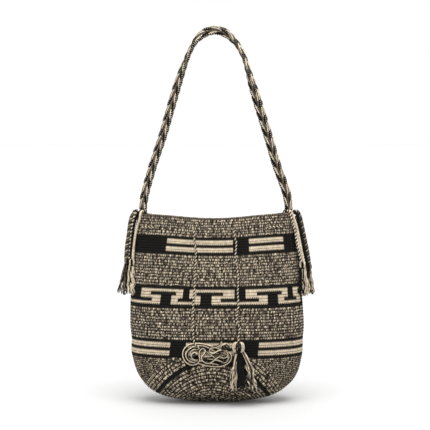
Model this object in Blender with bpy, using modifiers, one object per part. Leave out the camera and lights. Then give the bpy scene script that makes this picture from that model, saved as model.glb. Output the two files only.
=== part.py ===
"""A wayuu bag: a crocheted bucket bag hung by its braided strap, mouth nearly shut, base folded to a keel.

Metres, +Z up. The origin is under the top of the strap, where the bag hangs. The front faces -Y.
"""

import functools
import math

import bmesh
import bpy
from mathutils import Matrix, Vector

OBJECT_NAME = "wayuu_bag"

# The crocheted bag
BAG_WIDTH = 0.280
BAG_DEPTH = 0.112
BAG_HEIGHT = 0.3035
WALL = 0.003
RIM_FRONT_DIP = 0.0066
RIM_BACK_DIP = 0.0125
RIM_TILT = 0.0008
DIP_FADE = 0.5

# The strap
STRAP_WIDTH = 0.016
STRAP_THICKNESS = 0.008
STRAP_DROP = 0.286
STRAP_HALF_SPAN = 0.118
STRAP_STATIONS = 60
STRAP_SIDES = 12

# The drawstring and its eyelets
CORD_DIAMETER = 0.0028
EYELET_DIAMETER = 0.008
EYELET_LEVEL = 0.062
EYELET_CUT = 0.018
CORD_LIFT = 0.0011
CORNER_LIFT = 0.0020
EXIT_LENGTH = 0.0047

# The hank, the knot and the front tassel
HANK_LENGTH = 0.076
HANK_HEIGHT = 0.038
HANK_THICKNESS = 0.009
HANK_ACROSS = -0.018
HANK_BELOW = 0.516
HANK_NOTCH = 0.006
KNOT_DIAMETER = 0.0155
KNOT_DEPTH = 0.012
KNOT_ACROSS = 0.0136
KNOT_BELOW = 0.4925
FRONT_HEAD_WIDTH = 0.020
FRONT_HEAD_HEIGHT = 0.0165
FRONT_HEAD_DEPTH = 0.013
FRONT_HEAD_ACROSS = 0.0345
FRONT_HEAD_BELOW = 0.4925
FRONT_SKIRT_LENGTH = 0.070

# The side tassels
SIDE_TIE_HEIGHT = 0.009
SIDE_SKIRT_LENGTH = 0.052

# Gaps and mesh densities
GAP = 0.0003
RIM_TOP = -STRAP_DROP
AROUND = 42
RING_SAMPLES = 360

# Bag sections from rim to bottom. Columns: height share of BAG_HEIGHT, half-width share of BAG_WIDTH / 2,
# front depth and back depth shares of BAG_DEPTH / 2, squareness, sideways drift share of BAG_WIDTH / 2
SECTIONS = (
    (0.000, 0.900, 0.43, 0.43, 2.90, -0.0145),
    (0.058, 0.899, 0.50, 0.49, 2.80, -0.0130),
    (0.117, 0.916, 0.58, 0.57, 2.70, -0.0155),
    (0.212, 0.937, 0.69, 0.68, 2.60, -0.0100),
    (0.297, 0.954, 0.78, 0.78, 2.50, -0.0070),
    (0.403, 0.980, 0.88, 0.87, 2.45, -0.0040),
    (0.483, 0.993, 0.94, 0.93, 2.40, 0.0000),
    (0.589, 1.000, 0.99, 0.97, 2.35, 0.0060),
    (0.668, 0.987, 1.00, 0.98, 2.30, 0.0085),
    (0.721, 0.989, 1.00, 0.98, 2.30, 0.0050),
    (0.775, 0.969, 0.985, 0.965, 2.25, 0.0070),
    (0.828, 0.939, 0.945, 0.925, 2.20, 0.0095),
    (0.881, 0.880, 0.87, 0.85, 2.15, 0.0110),
    (0.912, 0.822, 0.79, 0.77, 2.12, 0.0070),
    (0.939, 0.752, 0.69, 0.67, 2.10, 0.0030),
    (0.966, 0.640, 0.53, 0.52, 2.05, 0.0060),
    (0.987, 0.460, 0.34, 0.34, 2.00, 0.0060),
    (1.000, 0.000, 0.00, 0.00, 2.00, 0.0000),
)

# Rings of the bag's mesh, as height shares, closer together where the base turns under
RING_LEVELS = (
    0.000, 0.025, 0.058, 0.110, 0.165, 0.225, 0.290, 0.355, 0.420, 0.485, 0.550, 0.610,
    0.665, 0.715, 0.765, 0.810, 0.850, 0.888, 0.920, 0.945, 0.965, 0.980, 0.992,
)

# Soft folds and swells. Columns: face (-1 front, 1 back), across share of the half-width, height share,
# half-width share, half-height share, depth share of BAG_DEPTH, where a negative depth swells outward
FOLDS = (
    (-1, -0.60, 0.04, 0.13, 0.20, 0.022),
    (-1, 0.47, 0.03, 0.12, 0.17, 0.020),
    (-1, -0.05, 0.20, 0.22, 0.16, 0.016),
    (-1, 0.55, 0.40, 0.16, 0.22, -0.016),
    (-1, -0.50, 0.62, 0.18, 0.18, -0.014),
    (1, 0.36, 0.16, 0.14, 0.26, 0.034),
    (1, -0.34, 0.12, 0.13, 0.24, 0.030),
    (1, 0.05, 0.48, 0.25, 0.20, 0.026),
    (1, -0.45, 0.70, 0.20, 0.14, -0.016),
)

# Eyelets round the rim, as shares of the way round: 0 is the right side and 0.25 the middle of the front.
# The drawstring leaves the bag at the third and the fourth, and changes side of the wall at each.
FRONT_EYELETS = (0.052, 0.098, 0.1975, 0.3125, 0.424, 0.467)

# Half of the bag's tight turn at each side, as a share of half the way round
SIDE_TURN = 0.08

# How the drawstring passes an eyelet. Columns: along share of the eyelet's radius, share of the swing across
CROSSING = ((-0.80, -1.00), (-0.35, -0.62), (0.35, 0.62), (0.80, 1.00))

# The strap, from its left foot inside the mouth, over the top, to its right foot. Columns: across share of
# STRAP_HALF_SPAN, drop share of STRAP_DROP, width share of STRAP_WIDTH, turn about its own line in degrees
STRAP_ROUTE = (
    (-0.990, 1.048, 0.80, 0),
    (-0.990, 1.007, 0.80, 0),
    (-0.993, 0.991, 0.82, 2),
    (-1.003, 0.966, 0.88, 10),
    (-0.971, 0.882, 0.98, 24),
    (-0.861, 0.728, 1.00, 28),
    (-0.733, 0.574, 1.00, 26),
    (-0.622, 0.420, 1.00, 24),
    (-0.506, 0.266, 1.00, 42),
    (-0.397, 0.146, 1.00, 70),
    (-0.317, 0.080, 1.00, 74),
    (-0.239, 0.038, 1.00, 46),
    (-0.125, 0.008, 1.00, 16),
    (0.000, 0.000, 1.00, 0),
    (0.134, 0.019, 1.00, -32),
    (0.225, 0.051, 1.00, -60),
    (0.292, 0.085, 1.00, -70),
    (0.369, 0.143, 1.00, -76),
    (0.431, 0.222, 1.00, -68),
    (0.488, 0.300, 1.00, -38),
    (0.579, 0.419, 1.03, -12),
    (0.700, 0.574, 1.03, -4),
    (0.814, 0.728, 1.03, 0),
    (0.945, 0.876, 1.00, 0),
    (0.982, 0.966, 0.88, 0),
    (0.950, 0.991, 0.82, 0),
    (0.942, 1.007, 0.80, 0),
    (0.940, 1.048, 0.78, 0),
)

# Free cords on the front. Columns: across, below the origin, stand-off of the cord's middle from the wall
DRAWSTRING_LEFT_ROUTE = (
    (-0.0360, 0.3130, 0.0086),
    (-0.0358, 0.3200, 0.0070),
    (-0.0350, 0.3290, 0.0036),
    (-0.0328, 0.3440, 0.0022),
    (-0.0343, 0.3720, 0.0022),
    (-0.0354, 0.4040, 0.0022),
    (-0.0372, 0.4280, 0.0022),
    (-0.0375, 0.4600, 0.0022),
    (-0.0356, 0.4840, 0.0032),
    (-0.0335, 0.4955, 0.0050),
)
DRAWSTRING_RIGHT_ROUTE = (
    (0.0275, 0.3130, 0.0086),
    (0.0288, 0.3205, 0.0070),
    (0.0312, 0.3300, 0.0036),
    (0.0302, 0.3484, 0.0022),
    (0.0323, 0.3663, 0.0022),
    (0.0345, 0.3862, 0.0022),
    (0.0334, 0.4059, 0.0022),
    (0.0344, 0.4266, 0.0022),
    (0.0316, 0.4500, 0.0024),
    (0.0364, 0.4625, 0.0034),
    (0.0349, 0.4735, 0.0056),
    (0.0345, 0.4838, 0.0068),
)

# Cords from the strap's feet over the rim and down the sides: name, diameter, then points in metres
SIDE_CORDS = (
    ("left_rope", 0.0052, (
        (-0.1266, 0.0006, -0.2812), (-0.1318, -0.0005, -0.2832), (-0.1368, -0.0020, -0.2922),
        (-0.1393, -0.0035, -0.3036), (-0.1410, -0.0050, -0.3183), (-0.1432, -0.0062, -0.3320),
        (-0.1446, -0.0072, -0.3457), (-0.1450, -0.0080, -0.3568),
    )),
    ("left_mottled_cord", 0.0030, (
        (-0.1250, -0.0040, -0.2832), (-0.1304, -0.0056, -0.2856), (-0.1332, -0.0070, -0.2960),
        (-0.1357, -0.0078, -0.3104), (-0.1377, -0.0090, -0.3300), (-0.1387, -0.0100, -0.3447),
        (-0.1400, -0.0100, -0.3568),
    )),
    ("left_black_cord", 0.0028, (
        (-0.1218, -0.0056, -0.2808), (-0.1266, -0.0096, -0.2846), (-0.1302, -0.0106, -0.2950),
        (-0.1330, -0.0112, -0.3080), (-0.1350, -0.0126, -0.3230), (-0.1368, -0.0146, -0.3400),
        (-0.1374, -0.0172, -0.3568),
    )),
    ("left_cream_cord", 0.0025, (
        (-0.1176, -0.0052, -0.2806), (-0.1214, -0.0110, -0.2826), (-0.1232, -0.0152, -0.2924),
        (-0.1270, -0.0146, -0.3036), (-0.1302, -0.0158, -0.3183), (-0.1324, -0.0170, -0.3339),
        (-0.1338, -0.0180, -0.3476), (-0.1342, -0.0186, -0.3568),
    )),
    ("right_rope", 0.0042, (
        (0.1232, 0.0005, -0.2816), (0.1305, 0.0000, -0.2826), (0.1348, -0.0010, -0.2915),
        (0.1368, -0.0020, -0.3000), (0.1390, -0.0030, -0.3104), (0.1422, -0.0040, -0.3260),
        (0.1450, -0.0050, -0.3397), (0.1478, -0.0058, -0.3544), (0.1490, -0.0064, -0.3652),
    )),
    ("right_black_cord", 0.0040, (
        (0.1214, -0.0040, -0.2818), (0.1288, -0.0068, -0.2854), (0.1312, -0.0078, -0.2965),
        (0.1341, -0.0084, -0.3110), (0.1372, -0.0090, -0.3260), (0.1398, -0.0098, -0.3397),
        (0.1428, -0.0102, -0.3530), (0.1452, -0.0098, -0.3652),
    )),
    ("right_mottled_cord", 0.0024, (
        (0.1125, -0.0050, -0.2800), (0.1176, -0.0128, -0.2820), (0.1200, -0.0174, -0.2925),
        (0.1230, -0.0148, -0.3030), (0.1262, -0.0160, -0.3154), (0.1292, -0.0180, -0.3339),
        (0.1320, -0.0196, -0.3457), (0.1352, -0.0200, -0.3612),
    )),
    ("right_cream_cord", 0.0027, (
        (0.1170, -0.0050, -0.2804), (0.1204, -0.0104, -0.2824), (0.1240, -0.0120, -0.2924),
        (0.1280, -0.0122, -0.3046), (0.1310, -0.0142, -0.3183), (0.1340, -0.0160, -0.3339),
        (0.1370, -0.0172, -0.3495), (0.1392, -0.0178, -0.3612),
    )),
)

# Tassels. Columns of a lock: across from the head at its top and at its end, forward at its end,
# length share of the skirt, width, thickness share of the width
FRONT_LOCKS = (
    (-0.0056, -0.0098, 0.0010, 0.98, 0.0082, 0.85),
    (-0.0028, -0.0040, 0.0030, 0.96, 0.0074, 0.90),
    (0.0004, 0.0012, 0.0026, 0.95, 0.0086, 1.00),
    (0.0034, 0.0068, 0.0020, 0.93, 0.0080, 0.95),
    (0.0058, 0.0140, 0.0012, 0.99, 0.0082, 0.85),
)
SIDE_TASSELS = (
    ("left_outer_tassel", (-0.1425, -0.0090, -0.3617), 0.0108, 1.0, (
        (-0.0030, -0.0120, -0.0010, 0.98, 0.0076, 0.80),
        (0.0004, -0.0056, 0.0010, 1.03, 0.0080, 0.80),
        (0.0024, 0.0002, 0.0000, 0.97, 0.0060, 0.80),
    )),
    ("left_inner_tassel", (-0.1358, -0.0182, -0.3617), 0.0080, 1.0, (
        (-0.0016, -0.0026, -0.0012, 0.93, 0.0056, 0.90),
        (0.0014, 0.0006, -0.0020, 0.95, 0.0052, 0.90),
    )),
    ("right_outer_tassel", (0.1478, -0.0080, -0.3701), 0.0108, 0.84, (
        (-0.0022, 0.0006, 0.0000, 0.97, 0.0058, 0.85),
        (0.0006, 0.0040, 0.0006, 1.00, 0.0062, 0.85),
        (0.0030, 0.0076, 0.0000, 0.96, 0.0050, 0.85),
    )),
    ("right_inner_tassel", (0.1374, -0.0190, -0.3661), 0.0092, 0.93, (
        (-0.0024, -0.0034, -0.0022, 0.96, 0.0052, 0.85),
        (0.0004, 0.0034, -0.0014, 1.03, 0.0058, 0.85),
        (0.0024, 0.0088, -0.0012, 1.00, 0.0050, 0.85),
    )),
)

# How a lock swells from its head to its end. Columns: length share, width share
LOCK_SWELL = ((0.0, 0.62), (0.30, 0.94), (0.92, 0.98), (1.0, 0.66))
LOCK_SIDES = 7

# Materials. Columns: colour, roughness, metallic
FINISHES = {
    "crochet": ((0.330, 0.280, 0.210), 0.92, 0.0),
    "strap": ((0.180, 0.150, 0.115), 0.90, 0.0),
    "cream": ((0.640, 0.530, 0.380), 0.90, 0.0),
    "mottled": ((0.210, 0.180, 0.140), 0.90, 0.0),
    "black": ((0.018, 0.017, 0.014), 0.90, 0.0),
}


def start_clean():
    """Removes what the scene holds and makes the collections of the bag and of its cutters."""
    for old in list(bpy.data.objects):
        bpy.data.objects.remove(old, do_unlink=True)
    parts = bpy.data.collections.new(OBJECT_NAME)
    cutters = bpy.data.collections.new("cutters")
    for collection in (parts, cutters):
        bpy.context.scene.collection.children.link(collection)
    return parts, cutters


def make_material(name, finish):
    """A plain yarn material of one of the named finishes."""
    colour, roughness, metallic = FINISHES[finish]
    material = bpy.data.materials.new(name + "_yarn")
    material.use_nodes = True
    shader = material.node_tree.nodes["Principled BSDF"]
    shader.inputs["Base Color"].default_value = (*colour, 1.0)
    shader.inputs["Roughness"].default_value = roughness
    shader.inputs["Metallic"].default_value = metallic
    material.diffuse_color = (*colour, 1.0)
    return material


def add_mesh(name, bm, collection, finish=None):
    """Makes an object from a bmesh, shaded smooth, with its own material if it has a finish."""
    bmesh.ops.recalc_face_normals(bm, faces=bm.faces)
    mesh = bpy.data.meshes.new(name)
    bm.to_mesh(mesh)
    bm.free()
    piece = bpy.data.objects.new(name, mesh)
    collection.objects.link(piece)
    mesh.shade_smooth()
    if finish:
        mesh.materials.append(make_material(name, finish))
    else:
        piece.hide_render = True
        piece.display_type = "WIRE"
    return piece


def add_boolean(piece, tool, operation):
    """Joins a tool to a piece, or cuts it away."""
    step = piece.modifiers.new(operation.lower() + "_" + tool.name, "BOOLEAN")
    step.operation = operation
    step.solver = "EXACT"
    step.object = tool


def look_up(rows, at, measure=lambda share: share):
    """Reads every column of a table at a share in its first column, along smooth curves without overshoot."""
    keys = [measure(row[0]) for row in rows]
    at = measure(at)
    if keys[0] > keys[-1]:
        rows, keys = rows[::-1], keys[::-1]
    at = min(max(at, keys[0]), keys[-1])
    i = max(k for k in range(len(keys) - 1) if keys[k] <= at)
    span = keys[i + 1] - keys[i]
    part = (at - keys[i]) / span
    values = []
    for column in range(1, len(rows[0])):
        here = slope(rows, keys, i, column) * span
        there = slope(rows, keys, i + 1, column) * span
        low, high = rows[i][column], rows[i + 1][column]
        cubic = 2 * (low - high) + here + there
        square = 3 * (high - low) - 2 * here - there
        values.append(low + part * (here + part * (square + part * cubic)))
    return values


def slope(rows, keys, i, column):
    """The slope of a table's column at row i, level at a turn."""
    steps = []
    for k in (i - 1, i):
        if 0 <= k < len(keys) - 1:
            steps.append((rows[k + 1][column] - rows[k][column]) / (keys[k + 1] - keys[k]))
    if len(steps) == 1:
        return steps[0]
    before, after = steps
    return 0.0 if before * after <= 0 else 2 * before * after / (before + after)


def bottom_measure(level):
    """Spreads the rows of the sections so that the bag's bottom closes round."""
    return math.sqrt(max(0.0, 1.0 - level))


@functools.lru_cache(maxsize=None)
def section(level):
    """Half-width, front and back depth, squareness and drift of the bag at a height share, in metres."""
    width, front, back, squareness, drift = look_up(SECTIONS, level, bottom_measure)
    half_width, half_depth = BAG_WIDTH / 2, BAG_DEPTH / 2
    return width * half_width, front * half_depth, back * half_depth, squareness, drift * half_width


def fold_depth(face, across, level):
    """How far the folds push the wall inward at a place."""
    depth = 0.0
    for side, fold_across, fold_level, half_width, half_height, share in FOLDS:
        if side == face:
            reach = ((across - fold_across) / half_width) ** 2 + ((level - fold_level) / half_height) ** 2
            depth += share * BAG_DEPTH * math.exp(-reach)
    return depth


def wall_height(face, across, level):
    """Height of a place on the wall: the rim dips in the middle of each face and tilts a little."""
    fade = max(0.0, 1.0 - level / DIP_FADE)
    inner = max(0.0, 1.0 - across * across)
    dip = RIM_FRONT_DIP * inner ** 3 if face < 0 else RIM_BACK_DIP * inner ** 1.5
    return RIM_TOP - level * BAG_HEIGHT - fade * (dip - RIM_TILT * across)


def wall_at_angle(angle, level):
    """A point of the outer wall at an angle round its section, 0 at the right and a quarter turn at the front."""
    half_width, front, back, squareness, drift = section(level)
    power = 2.0 / squareness
    across = math.copysign(abs(math.cos(angle)) ** power, math.cos(angle))
    face = -1 if math.sin(angle) >= 0 else 1
    forward = abs(math.sin(angle)) ** power
    depth = front if face < 0 else back
    edge = 1.0 - across ** 4
    y = face * (forward * depth - edge * forward * fold_depth(face, across, level))
    return Vector((drift + across * half_width, y, wall_height(face, across, level)))


@functools.lru_cache(maxsize=None)
def ring(level):
    """Points closely round the wall at a level, with how far round each one is, as shares."""
    points = [wall_at_angle(2 * math.pi * k / RING_SAMPLES, level) for k in range(RING_SAMPLES + 1)]
    lengths = [0.0]
    for a, b in zip(points, points[1:]):
        lengths.append(lengths[-1] + (b - a).length)
    return points, [length / lengths[-1] for length in lengths], lengths[-1]


def wall_point(round_share, level):
    """The point of the outer wall a share of the way round its ring."""
    points, shares, _ = ring(level)
    round_share = round_share % 1.0
    low, high = 0, RING_SAMPLES
    while high - low > 1:
        middle = (low + high) // 2
        if shares[middle] <= round_share:
            low = middle
        else:
            high = middle
    part = (round_share - shares[low]) / (shares[high] - shares[low])
    return points[low].lerp(points[high], part)


def wall_normal(round_share, level):
    """The outward direction of the wall at a place."""
    step = 0.004
    along = wall_point(round_share + step, level) - wall_point(round_share - step, level)
    down = wall_point(round_share, level + step) - wall_point(round_share, level - step)
    return along.cross(down).normalized()


def off_wall(round_share, level, outward):
    """A point at a distance outward from the wall's outer face."""
    return wall_point(round_share, level) + wall_normal(round_share, level) * outward


def front_face(across, below):
    """The y of the front wall at a place seen from the front."""
    level = (below + RIM_TOP) / BAG_HEIGHT
    for _ in range(8):
        half_width, front, _, squareness, drift = section(level)
        share = (across - drift) / half_width
        level += (wall_height(-1, share, level) + below) / BAG_HEIGHT
    forward = (1.0 - abs(share) ** squareness) ** (1.0 / squareness)
    return -forward * (front - (1.0 - share ** 4) * fold_depth(-1, share, level))


def smooth_route(points, step):
    """Points at even steps along a smooth curve through the given points."""
    points = [Vector(p) for p in points]
    first = points[0] * 2 - points[1]
    last = points[-1] * 2 - points[-2]
    padded = [first, *points, last]
    fine = []
    for p0, p1, p2, p3 in zip(padded, padded[1:], padded[2:], padded[3:]):
        for k in range(12):
            t = k / 12
            bend = 2 * p1 + (p2 - p0) * t
            bend += (2 * p0 - 5 * p1 + 4 * p2 - p3) * t * t
            bend += (3 * p1 - p0 - 3 * p2 + p3) * t ** 3
            fine.append(bend / 2)
    fine.append(points[-1])
    lengths = [0.0]
    for a, b in zip(fine, fine[1:]):
        lengths.append(lengths[-1] + (b - a).length)
    count = max(2, round(lengths[-1] / step))
    route = []
    i = 0
    for k in range(count + 1):
        at = lengths[-1] * k / count
        while i < len(lengths) - 2 and lengths[i + 1] < at:
            i += 1
        part = (at - lengths[i]) / (lengths[i + 1] - lengths[i])
        route.append(fine[i].lerp(fine[i + 1], part))
    return route


def add_cord(name, points, diameter, collection, finish):
    """A cord as a round tube through its points, with closed ends."""
    curve = bpy.data.curves.new(name, "CURVE")
    curve.dimensions = "3D"
    curve.bevel_depth = diameter / 2
    curve.bevel_resolution = 2
    curve.use_fill_caps = True
    spline = curve.splines.new("POLY")
    spline.points.add(len(points) - 1)
    for place, point in zip(spline.points, points):
        place.co = (*point, 1.0)
    piece = bpy.data.objects.new(name, curve)
    curve.materials.append(make_material(name, finish))
    collection.objects.link(piece)
    return piece


def loft(rings, pole=None):
    """A mesh over rings of equal numbers of points: closed at both ends, or open and then closed to a pole."""
    bm = bmesh.new()
    loops = [[bm.verts.new(point) for point in points] for points in rings]
    for near, far in zip(loops, loops[1:]):
        for k in range(len(near)):
            following = (k + 1) % len(near)
            bm.faces.new((near[k], near[following], far[following], far[k]))
    if pole is None:
        bm.faces.new(loops[0][::-1])
        bm.faces.new(loops[-1])
        return bm
    tip = bm.verts.new(pole)
    for k in range(len(loops[-1])):
        bm.faces.new((loops[-1][k], loops[-1][(k + 1) % len(loops[-1])], tip))
    return bm


def bag_body(parts, cutters):
    """The crocheted bag: one wall from rim to base, hollow, with twelve eyelets through it."""
    rings = [[wall_point(k / AROUND, level) for k in range(AROUND)] for level in RING_LEVELS]
    bottom = Vector((section(1.0)[4], 0.0, RIM_TOP - BAG_HEIGHT))
    body = add_mesh("bag_body", loft(rings, bottom), parts, "crochet")
    shell = body.modifiers.new("wall", "SOLIDIFY")
    shell.thickness = WALL
    shell.offset = -1
    shell.use_even_offset = True
    for k, round_share in enumerate(eyelets()):
        cutter = eyelet_cutter(k, round_share, cutters)
        add_boolean(body, cutter, "DIFFERENCE")
    return body


def eyelets():
    """Every eyelet's share of the way round: those of the front and the same at the back."""
    return FRONT_EYELETS + tuple(1.0 - share for share in reversed(FRONT_EYELETS))


def eyelet_cutter(number, round_share, cutters):
    """A short rod through the wall where an eyelet opens."""
    bm = bmesh.new()
    bmesh.ops.create_cone(
        bm, cap_ends=True, segments=8, radius1=EYELET_DIAMETER / 2, radius2=EYELET_DIAMETER / 2, depth=EYELET_CUT
    )
    turn = wall_normal(round_share, EYELET_LEVEL).to_track_quat("Z", "Y").to_matrix().to_4x4()
    place = Matrix.Translation(off_wall(round_share, EYELET_LEVEL, -WALL / 2))
    bmesh.ops.transform(bm, matrix=place @ turn, verts=bm.verts)
    return add_mesh(f"eyelet_cutter_{number}", bm, cutters)


def strap(parts):
    """The braided strap: one flat round band, turned about its own line near the top."""
    lines = []
    for across, drop, width, turn in STRAP_ROUTE:
        rise = STRAP_WIDTH / 2
        lines.append((across * STRAP_HALF_SPAN, width, rise - drop * (STRAP_DROP + rise), turn))
    middles = smooth_route([(x, 0.0, z) for x, _, z, _ in lines], path_step(lines))
    shares = arc_shares([(x, 0.0, z) for x, _, z, _ in lines])
    table = [(share, row[1], row[3]) for share, row in zip(shares, lines)]
    rings = []
    for k, middle in enumerate(middles):
        before = middles[max(0, k - 1)]
        after = middles[min(len(middles) - 1, k + 1)]
        along = (after - before).normalized()
        sideways = Vector((-along.z, 0.0, along.x))
        width, turn = look_up(table, k / (len(middles) - 1))
        rings.append(strap_ring(middle, sideways, width * STRAP_WIDTH / 2, math.radians(turn)))
    return add_mesh("strap", loft(rings), parts, "strap")


def strap_ring(middle, sideways, half_width, turn):
    """One oval section of the strap."""
    facing = Vector((0.0, 1.0, 0.0))
    wide = sideways * math.cos(turn) + facing * math.sin(turn)
    thick = facing * math.cos(turn) - sideways * math.sin(turn)
    points = []
    for k in range(STRAP_SIDES):
        angle = 2 * math.pi * k / STRAP_SIDES
        across = math.copysign(abs(math.cos(angle)) ** 0.85, math.cos(angle))
        out = math.copysign(abs(math.sin(angle)) ** 0.85, math.sin(angle))
        points.append(middle + wide * across * half_width + thick * out * STRAP_THICKNESS / 2)
    return points


def arc_shares(points):
    """How far along each point of a line lies, as shares of its length."""
    points = [Vector(p) for p in points]
    lengths = [0.0]
    for a, b in zip(points, points[1:]):
        lengths.append(lengths[-1] + (b - a).length)
    return [length / lengths[-1] for length in lengths]


def path_step(lines):
    """The distance between the strap's sections."""
    points = [Vector((x, 0.0, z)) for x, _, z, _ in lines]
    return sum((b - a).length for a, b in zip(points, points[1:])) / STRAP_STATIONS


def held_drawstring(parts):
    """The stretch of the drawstring that the bag holds, in and out of the eyelets all the way round."""
    order = [FRONT_EYELETS[3:], tuple(1.0 - share for share in reversed(FRONT_EYELETS))]
    crossings = [*order[0], *order[1], *(1.0 + share for share in FRONT_EYELETS[:3])]
    outer = CORD_DIAMETER / 2 + CORD_LIFT
    inner = -WALL - outer
    length = ring(EYELET_LEVEL)[2]
    reach = EYELET_DIAMETER / 2 / length
    stations = [(crossings[0], EXIT_LENGTH), (crossings[0], -WALL / 2)]
    outside = False
    stations += [(crossings[0] + reach * 0.9, inner * 0.9)]
    for here, there in zip(crossings, crossings[1:]):
        inset = 0.0 if outside else CORNER_LIFT
        stations += run_between(here + reach * 1.2, there - reach * 1.2, outer if outside else inner, inset)
        if there != crossings[-1]:
            turn = -1 if outside else 1
            for side, swing in CROSSING:
                middle = (outer + inner) / 2
                half = (outer - inner) / 2
                stations.append((there + side * reach, middle + turn * half * swing))
            outside = not outside
    stations += [(crossings[-1] - reach * 0.9, inner * 0.9), (crossings[-1], -WALL / 2), (crossings[-1], EXIT_LENGTH)]
    points = [off_wall(round_share, EYELET_LEVEL, outward) for round_share, outward in stations]
    return add_cord("drawstring_round_mouth", points, CORD_DIAMETER, parts, "mottled")


def run_between(start, end, outward, inset):
    """Evenly spaced stations of the drawstring between two eyelets, further in where the bag turns its side."""
    length = ring(EYELET_LEVEL)[2]
    count = max(1, round((end - start) * length / (CORD_DIAMETER * 3.4)))
    stations = []
    for k in range(count + 1):
        place = start + (end - start) * k / count
        from_side = abs(2 * place - round(2 * place)) / SIDE_TURN
        stations.append((place, outward - inset * max(0.0, 1.0 - from_side)))
    return stations


def free_drawstring(name, round_share, route, parts):
    """A free end of the drawstring: out of its eyelet, then down the front of the bag."""
    start = off_wall(round_share, EYELET_LEVEL, EXIT_LENGTH + GAP)
    out = off_wall(round_share, EYELET_LEVEL, EXIT_LENGTH + GAP + CORD_DIAMETER / 2)
    points = [out]
    for across, below, stand_off in route:
        points.append(Vector((across, front_face(across, below) - stand_off, -below)))
    route = [start, *smooth_route(points, CORD_DIAMETER * 2.4)]
    return add_cord(name, route, CORD_DIAMETER, parts, "mottled")


def cord_hank(parts):
    """The looped-up end of the drawstring, as one flat pad that lies on the front of the bag."""
    stations = 13
    around = 12
    rings = []
    for k in range(stations):
        share = (k + 0.35) / (stations - 0.3)
        along = 2 * share - 1
        half = HANK_HEIGHT / 2 * (1 - abs(along) ** 2.6) ** (1 / 2.6)
        across = HANK_ACROSS + along * HANK_LENGTH / 2
        notch = HANK_NOTCH * min(1.0, max(0.0, (share - 0.58) / 0.14))
        top = HANK_BELOW - half + min(notch, half)
        bottom = HANK_BELOW + half
        middle, half = (top + bottom) / 2, (bottom - top) / 2
        thickness = HANK_THICKNESS / 2 * (1 - 0.45 * abs(along) ** 4)
        points = []
        for m in range(around):
            angle = 2 * math.pi * m / around
            below = middle + half * math.cos(angle)
            rest = front_face(across, middle) - 2 * GAP - HANK_THICKNESS / 2
            points.append((across, rest + thickness * math.sin(angle), -below))
        rings.append(points)
    return add_mesh("cord_hank", loft(rings), parts, "cream")


def add_ball(name, centre, size, collection, finish):
    """A ball or an oval bead of yarn."""
    bm = bmesh.new()
    bmesh.ops.create_uvsphere(bm, u_segments=10, v_segments=7, radius=0.5)
    bmesh.ops.scale(bm, vec=size, verts=bm.verts)
    bmesh.ops.translate(bm, vec=centre, verts=bm.verts)
    return add_mesh(name, bm, collection, finish)


def add_lock(name, top, end, width, thickness, cutters):
    """One lock of a tassel: a tapering bundle of yarn from its head to a blunt end."""
    rings = []
    for share, swell in LOCK_SWELL:
        middle = top.lerp(end, share)
        points = []
        for k in range(LOCK_SIDES):
            angle = 2 * math.pi * k / LOCK_SIDES
            across = math.cos(angle) * width / 2 * swell
            forward = math.sin(angle) * thickness / 2 * swell
            points.append(middle + Vector((across, forward, 0.0)))
        rings.append(points)
    return add_mesh(name, loft(rings), cutters)


def add_tassel(name, centre, head_size, skirt, locks, parts, cutters, finish):
    """A tassel: its tied head with its locks grown into one solid."""
    head = add_ball(name, centre, head_size, parts, finish)
    for number, (top_across, end_across, forward, length, width, thick) in enumerate(locks):
        top = centre + Vector((top_across, 0.0, -head_size[2] * 0.12))
        end = Vector((centre.x + end_across, centre.y + forward, centre.z - skirt * length))
        lock = add_lock(f"{name}_lock_{number}", top, end, width, width * thick, cutters)
        add_boolean(head, lock, "UNION")
    return head


def front_tassel(parts, cutters):
    """The large tassel on the drawstring's right end."""
    size = Vector((FRONT_HEAD_WIDTH, FRONT_HEAD_DEPTH, FRONT_HEAD_HEIGHT))
    y = front_face(FRONT_HEAD_ACROSS, FRONT_HEAD_BELOW) - FRONT_HEAD_DEPTH / 2 - 3 * GAP
    centre = Vector((FRONT_HEAD_ACROSS, y, -FRONT_HEAD_BELOW))
    add_tassel("front_tassel", centre, size, FRONT_SKIRT_LENGTH, FRONT_LOCKS, parts, cutters, "cream")


def side_tassels(parts, cutters):
    """The four tied tassels at the ends of the side cords."""
    for name, place, width, skirt_share, locks in SIDE_TASSELS:
        size = Vector((width, width * 0.8, SIDE_TIE_HEIGHT))
        skirt = SIDE_SKIRT_LENGTH * skirt_share
        finish = "cream" if "inner" in name else "black"
        add_tassel(name, Vector(place), size, skirt, locks, parts, cutters, finish)


def side_cords(parts):
    """The cords that come from the strap's feet over the rim and down the sides."""
    for name, diameter, points in SIDE_CORDS:
        finish = name.split("_")[1]
        finish = "mottled" if finish == "rope" else finish
        add_cord(name, smooth_route(points, diameter * 2.8), diameter, parts, finish)


def cord_knot(parts):
    """The small wound ball between the hank and the front tassel."""
    y = front_face(KNOT_ACROSS, KNOT_BELOW) - KNOT_DEPTH / 2 - 2 * GAP
    centre = Vector((KNOT_ACROSS, y, -KNOT_BELOW))
    add_ball("cord_knot", centre, Vector((KNOT_DIAMETER, KNOT_DEPTH, KNOT_DIAMETER)), parts, "mottled")


def main():
    """Builds the bag."""
    parts, cutters = start_clean()
    bag_body(parts, cutters)
    strap(parts)
    held_drawstring(parts)
    free_drawstring("drawstring_left", FRONT_EYELETS[3], DRAWSTRING_LEFT_ROUTE, parts)
    free_drawstring("drawstring_right", FRONT_EYELETS[2], DRAWSTRING_RIGHT_ROUTE, parts)
    cord_hank(parts)
    cord_knot(parts)
    front_tassel(parts, cutters)
    side_cords(parts)
    side_tassels(parts, cutters)


main()
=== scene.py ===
import math
from functools import partial

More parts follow.
